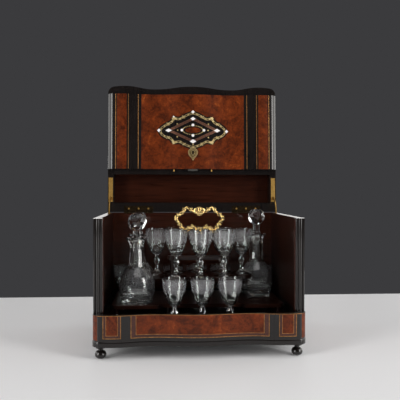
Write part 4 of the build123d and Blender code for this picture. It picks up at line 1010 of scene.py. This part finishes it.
class TANTALUS_OT_lid(bpy.types.Operator):
    """Burl field and stringing on the lid's top, and its mahogany lining"""

    bl_idname = "tantalus.lid"
    bl_label = "Lid veneers and lining"

    def execute(self, context):
        sizes = context.scene.tantalus_sizes
        lift = sizes.veneer * 0.6
        crest = np.linalg.norm(pivot("front_turn") - pivot("lid_turn")) + FOLD[1] + LID_GAP
        field, (x, y) = lid_sheet(crest, 15, -18, LID_TOP, lift)
        finish_piece("lid_burl", field, "lid", "burl")
        edge = np.vstack([np.stack([x[-1], y[-1]], -1), [[x[-1, -1], y[0, -1]], [x[-1, 0], y[0, 0]]]])
        path = dense(edge, 4, True)
        side = spans_and_sides(path)[1] * sizes.string / 2
        corners = ((1, lift + 0.05), (-1, lift + 0.05), (-1, -0.2), (1, -0.2))
        rings = [np.column_stack([path + k * side, np.full(len(path), LID_TOP + d)]) for k, d in corners]
        string = placed(LID, np.stack(rings, 1)), grid_faces(len(path), 4, True, True)
        finish_piece("lid_stringing", string, "lid", "string_brass")
        lining = np.meshgrid(np.linspace(*LINING_X, 3), np.linspace(*LINING_Y, 3), indexing="ij")
        layers = [placed(LID, np.dstack([*lining, np.full((3, 3), z)])) for z in LINING_Z]
        finish_piece("lid_lining", slab(*layers), "lid", "interior_wood")
        return {"FINISHED"}


# profiles are (radius, height); cuts are (height, share of the radius at which the upright planes stand)
GLASS_OUT = (
    (0, 0), (17.5, 0), (19.3, 0.4), (19.4, 1.4), (15.0, 2.3), (9.0, 4.0), (5.0, 7.2), (3.1, 12),
    (2.6, 17.0), (3.3, 21.0), (5.2, 24.6), (5.6, 28.0), (4.6, 31.4), (3.0, 34.6), (3.2, 36.6), (5.2, 38.6),
    (8.6, 40.8), (11.8, 45), (15.2, 52), (18.0, 60), (20.0, 69), (21.0, 79), (21.5, 86.0), (21.2, 86.4),
)
GLASS_IN = (
    (20.8, 86.3), (20.4, 85.6), (20.0, 79), (19.0, 69), (17.0, 60), (14.0, 52.0), (10.4, 45.8), (6.4, 42.6),
    (0, 41.4),
)
GLASS_CUTS = (
    (0, 1.2), (10, 1.2), (16, 0.93), (35, 0.93), (38, 0.965), (50, 0.965), (60, 0.985), (68, 1.02),
    (70, 1.2),
)
DECANTER_OUT = (
    (0, 1.2), (18, 1.2), (22, 0), (28, 0), (29, 1.1), (29, 6.4), (28.2, 8.2), (29.6, 11.0), (31.6, 14.2),
    (32.5, 19), (32.5, 24), (32.1, 31), (31.2, 38), (29.6, 44), (26.8, 49.6), (22.4, 55.2), (18.2, 60.4),
    (15.8, 65.4), (14.7, 72), (14.0, 81), (13.1, 92), (12.8, 101), (14.0, 108.4), (16.6, 114.6),
    (18.3, 117.2), (17.9, 118.0),
)
DECANTER_IN = (
    (9.4, 118.0), (8.2, 117.0), (7.6, 114), (7.6, 105), (7.8, 95), (8.8, 84), (10.6, 72), (13.2, 65),
    (16.8, 59.4), (20.8, 54.4), (25.0, 48.8), (27.8, 43.4), (29.2, 38), (30.1, 31), (30.5, 24), (30.4, 19),
    (29.4, 15.6), (26, 12.6), (0, 11.6),
)
DECANTER_CUTS = (
    (0, 0.97), (6, 0.97), (8, 1.2), (56, 1.2), (61, 1.0), (68, 0.935), (104, 0.935), (109, 1.0), (112, 1.2),
)

PANEL_STEPS = 6  # steps round each flat panel of the glass
DECANTERS = ("front_left", "back_left", "back_right")
# the pouring lip: how far it is drawn out, its spread in radians, and where it starts and how high it is
LIP_REACH, LIP_SPREAD, LIP_FROM, LIP_HIGH = 3.4, 0.42, 106, 12


def cut_surface(outer, inner, facets, cuts):
    """Turned glass whose outside is also cut by upright planes.

    The radius is the smaller of the turned profile and a plane's distance over the cosine of the angle
    from the panel's middle.
    """
    outer, inner, around = smooth_line(outer, 4), smooth_line(inner, 3), circle(facets * PANEL_STEPS)
    off = (around + pi / facets) % (2 * pi / facets) - pi / facets
    flat = (outer[:, 0] * np.interp(outer[:, 1], *np.array(cuts).T))[:, None] / np.cos(off)
    inside = np.broadcast_to(inner[:, :1], (len(inner), len(around)))
    radius = np.vstack([np.minimum(outer[:, :1], flat), inside])
    own = revolved(radius, around, np.r_[outer[:, 1], inner[:, 1]][:, None])
    return own, grid_faces(*own.shape[:2], False, True)


def own_middle(node):
    """Middle of a node in plan and its lowest height."""
    lo, hi = low(node), high(node)
    return np.array([(lo[0] + hi[0]) / 2, (lo[1] + hi[1]) / 2, lo[2]])


def cut_piece(node, own, faces, look, sharp=14):
    """Glass shaped about the middle of its own foot, in the place of a node and riding on its body."""
    piece = finish_piece(f"cut_{node}", (own + own_middle(node), faces), node, look, own=own, sharp=sharp)
    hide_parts(node)


class TANTALUS_OT_glasses(bpy.types.Operator):
    """Sixteen stemmed liqueur glasses with cut lower bowls and engraved upper bowls"""

    bl_idname = "tantalus.glasses"
    bl_label = "Liqueur glasses"

    def execute(self, context):
        panels = context.scene.tantalus_sizes.bowl_panels
        own, faces = cut_surface(GLASS_OUT, GLASS_IN, panels, GLASS_CUTS)
        for node in sorted(n for n in frame["nodes"] if n.startswith("glass_") and n != "glass_shelf"):
            cut_piece(node, own, faces, "glass")
        return {"FINISHED"}


class TANTALUS_OT_decanters(bpy.types.Operator):
    """Three decanters with a fluted neck, a pouring lip, a cut foot and an engraved body"""

    bl_idname = "tantalus.decanters"
    bl_label = "Decanters"

    def execute(self, context):
        panels = context.scene.tantalus_sizes.neck_panels
        own, faces = cut_surface(DECANTER_OUT, DECANTER_IN, panels, DECANTER_CUTS)
        # the lip: the mouth is drawn out on the left over the last few millimetres
        left = np.exp(-((np.arctan2(own[..., 1], -own[..., 0]) / LIP_SPREAD) ** 2))
        own[..., 0] -= LIP_REACH * left * np.clip((own[..., 2] - LIP_FROM) / LIP_HIGH, 0, 1) ** 2
        for name in DECANTERS:
            cut_piece(f"decanter_{name}", own, faces, "decanter")
        return {"FINISHED"}


# a stopper's plug and neck, the latitudes of its ball's rows in degrees, and its sides
PLUG = ((0, 0), (6.0, 0), (7.1, 22), (8.8, 24.4), (8.8, 26), (7.0, 28.5))
BALL_ROWS = (-52, -26, 2, 30, 58)
BALL_SIDES = 8
BALL_DROP = 17.0  # the ball's middle below the stopper's top


class TANTALUS_OT_stoppers(bpy.types.Operator):
    """Three stoppers: a ball cut into lozenge facets on a short neck and a ground plug"""

    bl_idname = "tantalus.stoppers"
    bl_label = "Stoppers"

    def execute(self, context):
        for name in DECANTERS:
            node = f"stopper_{name}"
            ball_r = high(node)[0] - own_middle(node)[0]
            ball_z = high(node)[2] - low(node)[2] - BALL_DROP
            stem = [*PLUG, (6.6, ball_z - 0.93 * ball_r)]
            ball = [(ball_r * cos(a), ball_z + ball_r * sin(a)) for a in map(radians, BALL_ROWS)]
            r, z = np.array([*stem, *ball, (0, ball_z + 0.9 * ball_r)]).T[..., None]
            row = np.arange(len(r))[:, None]
            turn = np.where(row < len(stem), 0, row % 2) * pi / BALL_SIDES
            own = revolved(r, circle(BALL_SIDES) + turn, z)
            quads = grid_faces(len(r), BALL_SIDES, False, True)
            even = np.repeat(row[:-1] % 2 == len(stem) % 2, BALL_SIDES)[:, None]
            halves = (([0, 1, 2], [0, 1, 3]), ([0, 2, 3], [1, 2, 3]))
            cut = [np.where(even, quads[:, a], quads[:, b]) for a, b in halves]
            cut_piece(node, own, np.vstack(cut), "stopper", sharp=4)
        return {"FINISHED"}


def carved_leaf(x, z, heading, length, width, face):
    """One lobed leaf on a face of the handle: points, faces and the painted shade of each point.

    Across, its half width is a sine of the way along to the power 0.7 times three rounded lobes; its
    section is a flat ellipse that lifts off the bar and curls out towards the tip.
    """
    u = np.linspace(0, 1, 15)[:, None]
    v = circle(16)[None]
    lobes = np.abs(np.cos(3.5 * pi * u))
    girth = np.sin(pi * u**0.8) ** 0.7 * width / 2 * (0.66 + 0.34 * lobes)
    side = girth * np.cos(v)
    thick = girth * np.sin(v) * 0.42 * (1 - 0.35 * np.cos(v) ** 2 * np.cos(4 * v))
    thick += 0.7 * np.sin(pi * u) + 0.7 * u**2
    along = u * length + 0 * v
    px = x + along * np.cos(heading) - side * np.sin(heading)
    pz = z + along * np.sin(heading) + side * np.cos(heading)
    # painted shade: between the leaf's lobes, strongest at its edges
    painted_shade = np.clip(1.15 - lobes, 0, 1) * np.abs(np.cos(v))
    return np.dstack([px, face * (1.5 + thick * 0.6), pz]), grid_faces(15, 16, False, True), painted_shade


def scallop(z, half_width, half_height, ribs, face):
    """A shell on a face of the handle: a domed ellipse, sunk between ribs that fan from its foot."""
    rho = np.linspace(0, 1, 13)[:, None]
    v = circle(48)[None]
    px, pz = half_width * rho * np.cos(v), half_height * rho * np.sin(v)
    fan = np.arctan2(pz + half_height * 0.85, px + 0 * rho)
    rib = np.cos(ribs * fan * 2)
    inside = np.sin(pi * np.clip(rho / 0.86, 0, 1)) * (pz > -0.4 * half_height)
    sunk = np.clip(0.45 - 0.95 * rib, 0, 1) * inside
    dome = 1.5 + 2.3 * np.sqrt(1 - rho**2 * 0.98) - 1.6 * sunk
    front = np.dstack([px, face * dome, z + pz])
    back = front[::-1] * (1, 0, 1)
    # painted shade: in the sunk grooves between the ribs, and full on the shell's flat back
    painted_shade = np.vstack([sunk, np.ones_like(rib)])
    return np.concatenate([front, back]), grid_faces(26, 48, False, True), painted_shade


# half of the line down the middle of the handle's bars, and leaves: x, z, heading, length and width
HANDLE_BARS = (
    (0, 13.4), (7, 14.0), (14, 17.2), (21, 21.2), (25.5, 21.6), (30, 16.6), (36, 10.8), (42, 6.2),
    (46, 2.2), (42, -2.6), (37, -8.4), (33, -14.4), (28, -20.4), (20, -18.6), (12.5, -15.6), (6, -18.6),
    (0, -22.4),
)
MIDDLE_LEAVES = (
    (0, 11.4, -pi / 2, 4.6, 4.4), (-1.5, 11.4, -2.3, 4.4, 3.4), (1.5, 11.4, -0.84, 4.4, 3.4),
    (0, -24, pi / 2, 6.0, 4.6),
)
SIDE_LEAVES = (
    (23.5, 20.6, 1.35, 5.4, 4.6), (25.0, 20.0, 0.35, 6.6, 4.4), (20.5, 19.6, 2.75, 7.0, 4.2),
    (27, 18.4, -0.75, 8.0, 5.0), (15, 16.6, 0.5, 6.5, 4.0), (9, 14.4, 0.3, 6.0, 3.8),
    (34, 12.6, -0.75, 7.0, 4.4), (39, 8.6, 0.9, 5.0, 3.8), (41.0, 5.0, 1.15, 4.6, 4.0),
    (41.5, 2.2, -0.02, 8.4, 4.4), (41.0, 0.0, -1.35, 5.2, 4.0), (38, -6.0, -2.1, 7.5, 4.8),
    (37, -7.6, -0.5, 5.6, 4.0), (32.5, -14.0, -0.4, 5.6, 4.0), (33.5, -13.0, -2.0, 7.0, 4.6),
    (28, -19.4, -0.65, 6.0, 4.8), (27, -20.2, -2.0, 5.0, 4.4), (27, -19, 2.6, 6.5, 4.2),
    (13, -16.0, 1.45, 7.4, 4.6), (12, -16.2, 2.5, 5.4, 3.8), (14, -16.4, 0.5, 5.8, 3.8),
    (19, -18.0, 1.1, 6.4, 4.0), (5, -19.4, 2.2, 6.4, 4.4), (3, -22.0, -1.2, 4.6, 4.6),
)


# the bars: mean radius, threads of the twist, turns of it round the loop, and knuckles round the loop
BAR_R, THREADS, TWISTS, KNUCKLES = 2.75, 3, 22, 36
LEAF_GROWTH = (1.08, 1.15)  # of the side leaves' lengths and widths


class TANTALUS_OT_handle(bpy.types.Operator):
    """Gilt rocaille handle: twisted bars, a scallop shell and acanthus leaves along them"""

    bl_idname = "tantalus.handle"
    bl_label = "Gilt handle"

    def execute(self, context):
        lo, hi = low("handle"), high("handle")
        middle = (lo + hi) / 2
        loop = closed_line(mirrored(HANDLE_BARS), 14)
        span, across = spans_and_sides(loop)
        way = np.cumsum(span / 2)
        turns = (2 * pi * way / way[-1])[:, None]
        a = circle(24)
        twist = np.cos(THREADS * a + TWISTS * turns)
        radius = (BAR_R + 0.5 * np.cos(KNUCKLES * turns)) * (1 + 0.2 * twist)
        flat = loop[:, None] + across[:, None] * (radius * np.cos(a))[..., None]
        bars = np.dstack([flat[..., 0], radius * np.sin(a) * 1.05, flat[..., 1]])
        # the third of each part is its painted shade; on the bars it lies in the grooves of the twist
        parts = [(bars, grid_faces(len(loop), len(a), True, True), np.clip(0.45 - 0.75 * twist, 0, 1))]
        leaves = [*MIDDLE_LEAVES]
        for side in (-1, 1):
            for x, z, heading, length, width in SIDE_LEAVES:
                aim = heading if side > 0 else pi - heading
                leaves.append((side * x, z, aim, length * LEAF_GROWTH[0], width * LEAF_GROWTH[1]))
        for face in (-1, 1):
            parts += [carved_leaf(*leaf, face) for leaf in leaves]
            parts.append(scallop(z=16.6, half_width=10.6, half_height=8.0, ribs=5, face=face))
        points, faces = joined([part[:2] for part in parts])
        points = np.clip(points, lo - middle, hi - middle) + middle
        # each point's painted shade, passed to the gilt finish in the own attribute
        painted_shade = np.concatenate([part[2].ravel() for part in parts])
        own = np.column_stack([painted_shade, np.zeros((len(painted_shade), 2))])
        piece = finish_piece("gilt_handle", (points, faces), "caddy", "gilt", own=own, sharp=50)
        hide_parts("handle")
        return {"FINISHED"}


# the camera's place in metres and its turns in radians
EYE = (-0.062084, POSTS_Y * MM - 0.947597, 0.283271)
YAW, PITCH, ROLL = -0.0648, 0.0171, 0.0017
LENS_MM, SENSOR_MM = 50.515, 36.0
# the table's corners and top in millimetres
TABLE = ((-6000, -3000), (6000, -3000), (6000, TABLE_BACK), (-6000, TABLE_BACK))
TABLE_Z = -0.2
LAMP_AIM = (0, 0, 0.22)
LAMPS = (  # name, place and size in metres, watts
    ("left_soft", (-2.0, -1.55, 0.96), (0.76, 1.9), 42.0),
    ("right_soft", (1.9, -1.45, 0.96), (0.76, 1.9), 42.0),
    ("left_wall", (-2.7, 0.32, 1.0), (3.4, 1.5), 34.0),
    ("right_wall", (2.7, 0.4, 1.0), (3.4, 1.5), 40.0),
    ("top_soft", (0.2, -1.0, 3.2), (2.6, 2.0), 20.0),
    ("back_soft", (0.4, 2.8, 2.6), (2.4, 1.6), 14.0),
    ("edge_strip", (0.15, 2.8, 0.42), (2.0, 0.2), 3.0),
)


class TANTALUS_OT_stage(bpy.types.Operator):
    """Pale floor, soft studio light and the camera"""

    bl_idname = "tantalus.stage"
    bl_label = "Floor, light and camera"

    def execute(self, context):
        scene = context.scene
        scene.view_settings.view_transform = "Standard"
        mesh = bpy.data.meshes.new("floor")
        mesh.from_pydata([(x * MM, y * MM, TABLE_Z * MM) for x, y in TABLE], [], [(0, 1, 2, 3)])
        ground = bpy.data.objects.new("floor", mesh)
        scene.collection.objects.link(ground)
        pale = linear("#e6e6e8")
        paper, *_ = new_finish("matt_paper", Base_Color=pale, Roughness=0.45, Specular_IOR_Level=0.15)
        mesh.materials.append(paper)

        world = bpy.data.worlds.new("studio")
        world.use_nodes = True
        scene.world = world
        tree = world.node_tree
        tree.nodes.clear()
        path = add_node(tree, "LightPath")
        lit = add_node(tree, "Background", Color=linear("#c9ccd2"), Strength=0.11)
        seen = add_node(tree, "Background", Color=linear("#3b3b3d"), Strength=1.0)
        mix = add_node(tree, "MixShader", None, path.outputs["Is Camera Ray"], lit, seen)
        add_node(tree, "OutputWorld", Surface=mix)

        for name, spot, spread, power in LAMPS:
            lamp = bpy.data.lights.new(name, "AREA")
            lamp.shape, lamp.size, lamp.size_y, lamp.energy = "RECTANGLE", *spread, power
            lamp.color = (1.0, 0.985, 0.96)
            thing = bpy.data.objects.new(name, lamp)
            aim = Vector(LAMP_AIM) - Vector(spot)
            thing.matrix_world = Matrix.Translation(spot) @ aim.to_track_quat("-Z", "Y").to_matrix().to_4x4()
            scene.collection.objects.link(thing)

        lens = bpy.data.cameras.new("camera")
        lens.sensor_width, lens.lens = SENSOR_MM, LENS_MM
        lens.clip_start, lens.clip_end = 0.05, 50
        eye = bpy.data.objects.new("camera", lens)
        turns = ((YAW, "Z"), (pi / 2 - PITCH, "X"), (ROLL, "Z"))
        yaw, pitch, roll = (Matrix.Rotation(angle, 4, axis) for angle, axis in turns)
        eye.matrix_world = Matrix.Translation(EYE) @ yaw @ pitch @ roll
        scene.collection.objects.link(eye)
        scene.camera = eye
        return {"FINISHED"}


PIECES = (
    TANTALUS_OT_carried_nodes, TANTALUS_OT_plinth, TANTALUS_OT_base_veneer, TANTALUS_OT_posts,
    TANTALUS_OT_case_veneer, TANTALUS_OT_lid, TANTALUS_OT_panel_veneer, TANTALUS_OT_marquetry,
    TANTALUS_OT_escutcheon, TANTALUS_OT_glasses, TANTALUS_OT_decanters, TANTALUS_OT_stoppers,
    TANTALUS_OT_handle, TANTALUS_OT_stage,
)


class TANTALUS_PT_panel(bpy.types.Panel):
    """Lists the sizes, colours and makers of the tantalus"""

    bl_idname = "TANTALUS_PT_panel"
    bl_label = "Antique tantalus"
    bl_space_type = "VIEW_3D"
    bl_region_type = "UI"
    bl_category = "Tantalus"

    def draw(self, context):
        for group in (context.scene.tantalus_sizes, context.scene.tantalus_colours):
            box = self.layout.box()
            for key in type(group).__annotations__:
                box.prop(group, key)
        for operator in PIECES:
            self.layout.operator(operator.bl_idname)


CLASSES = (TantalusSizes, TantalusColours, *PIECES, TANTALUS_PT_panel)


def register():
    """Registers the classes and hangs the settings on the scene."""
    for kind in CLASSES:
        bpy.utils.register_class(kind)
    bpy.types.Scene.tantalus_sizes = PointerProperty(type=TantalusSizes)
    bpy.types.Scene.tantalus_colours = PointerProperty(type=TantalusColours)


def unregister():
    """Takes the settings and classes away again."""
    del bpy.types.Scene.tantalus_sizes
    del bpy.types.Scene.tantalus_colours
    for kind in reversed(CLASSES):
        bpy.utils.unregister_class(kind)


def main():
    """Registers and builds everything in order."""
    register()
    for operator in PIECES:
        group, name = operator.bl_idname.split(".")
        getattr(getattr(bpy.ops, group), name)()


if __name__ == "__main__":
    main()
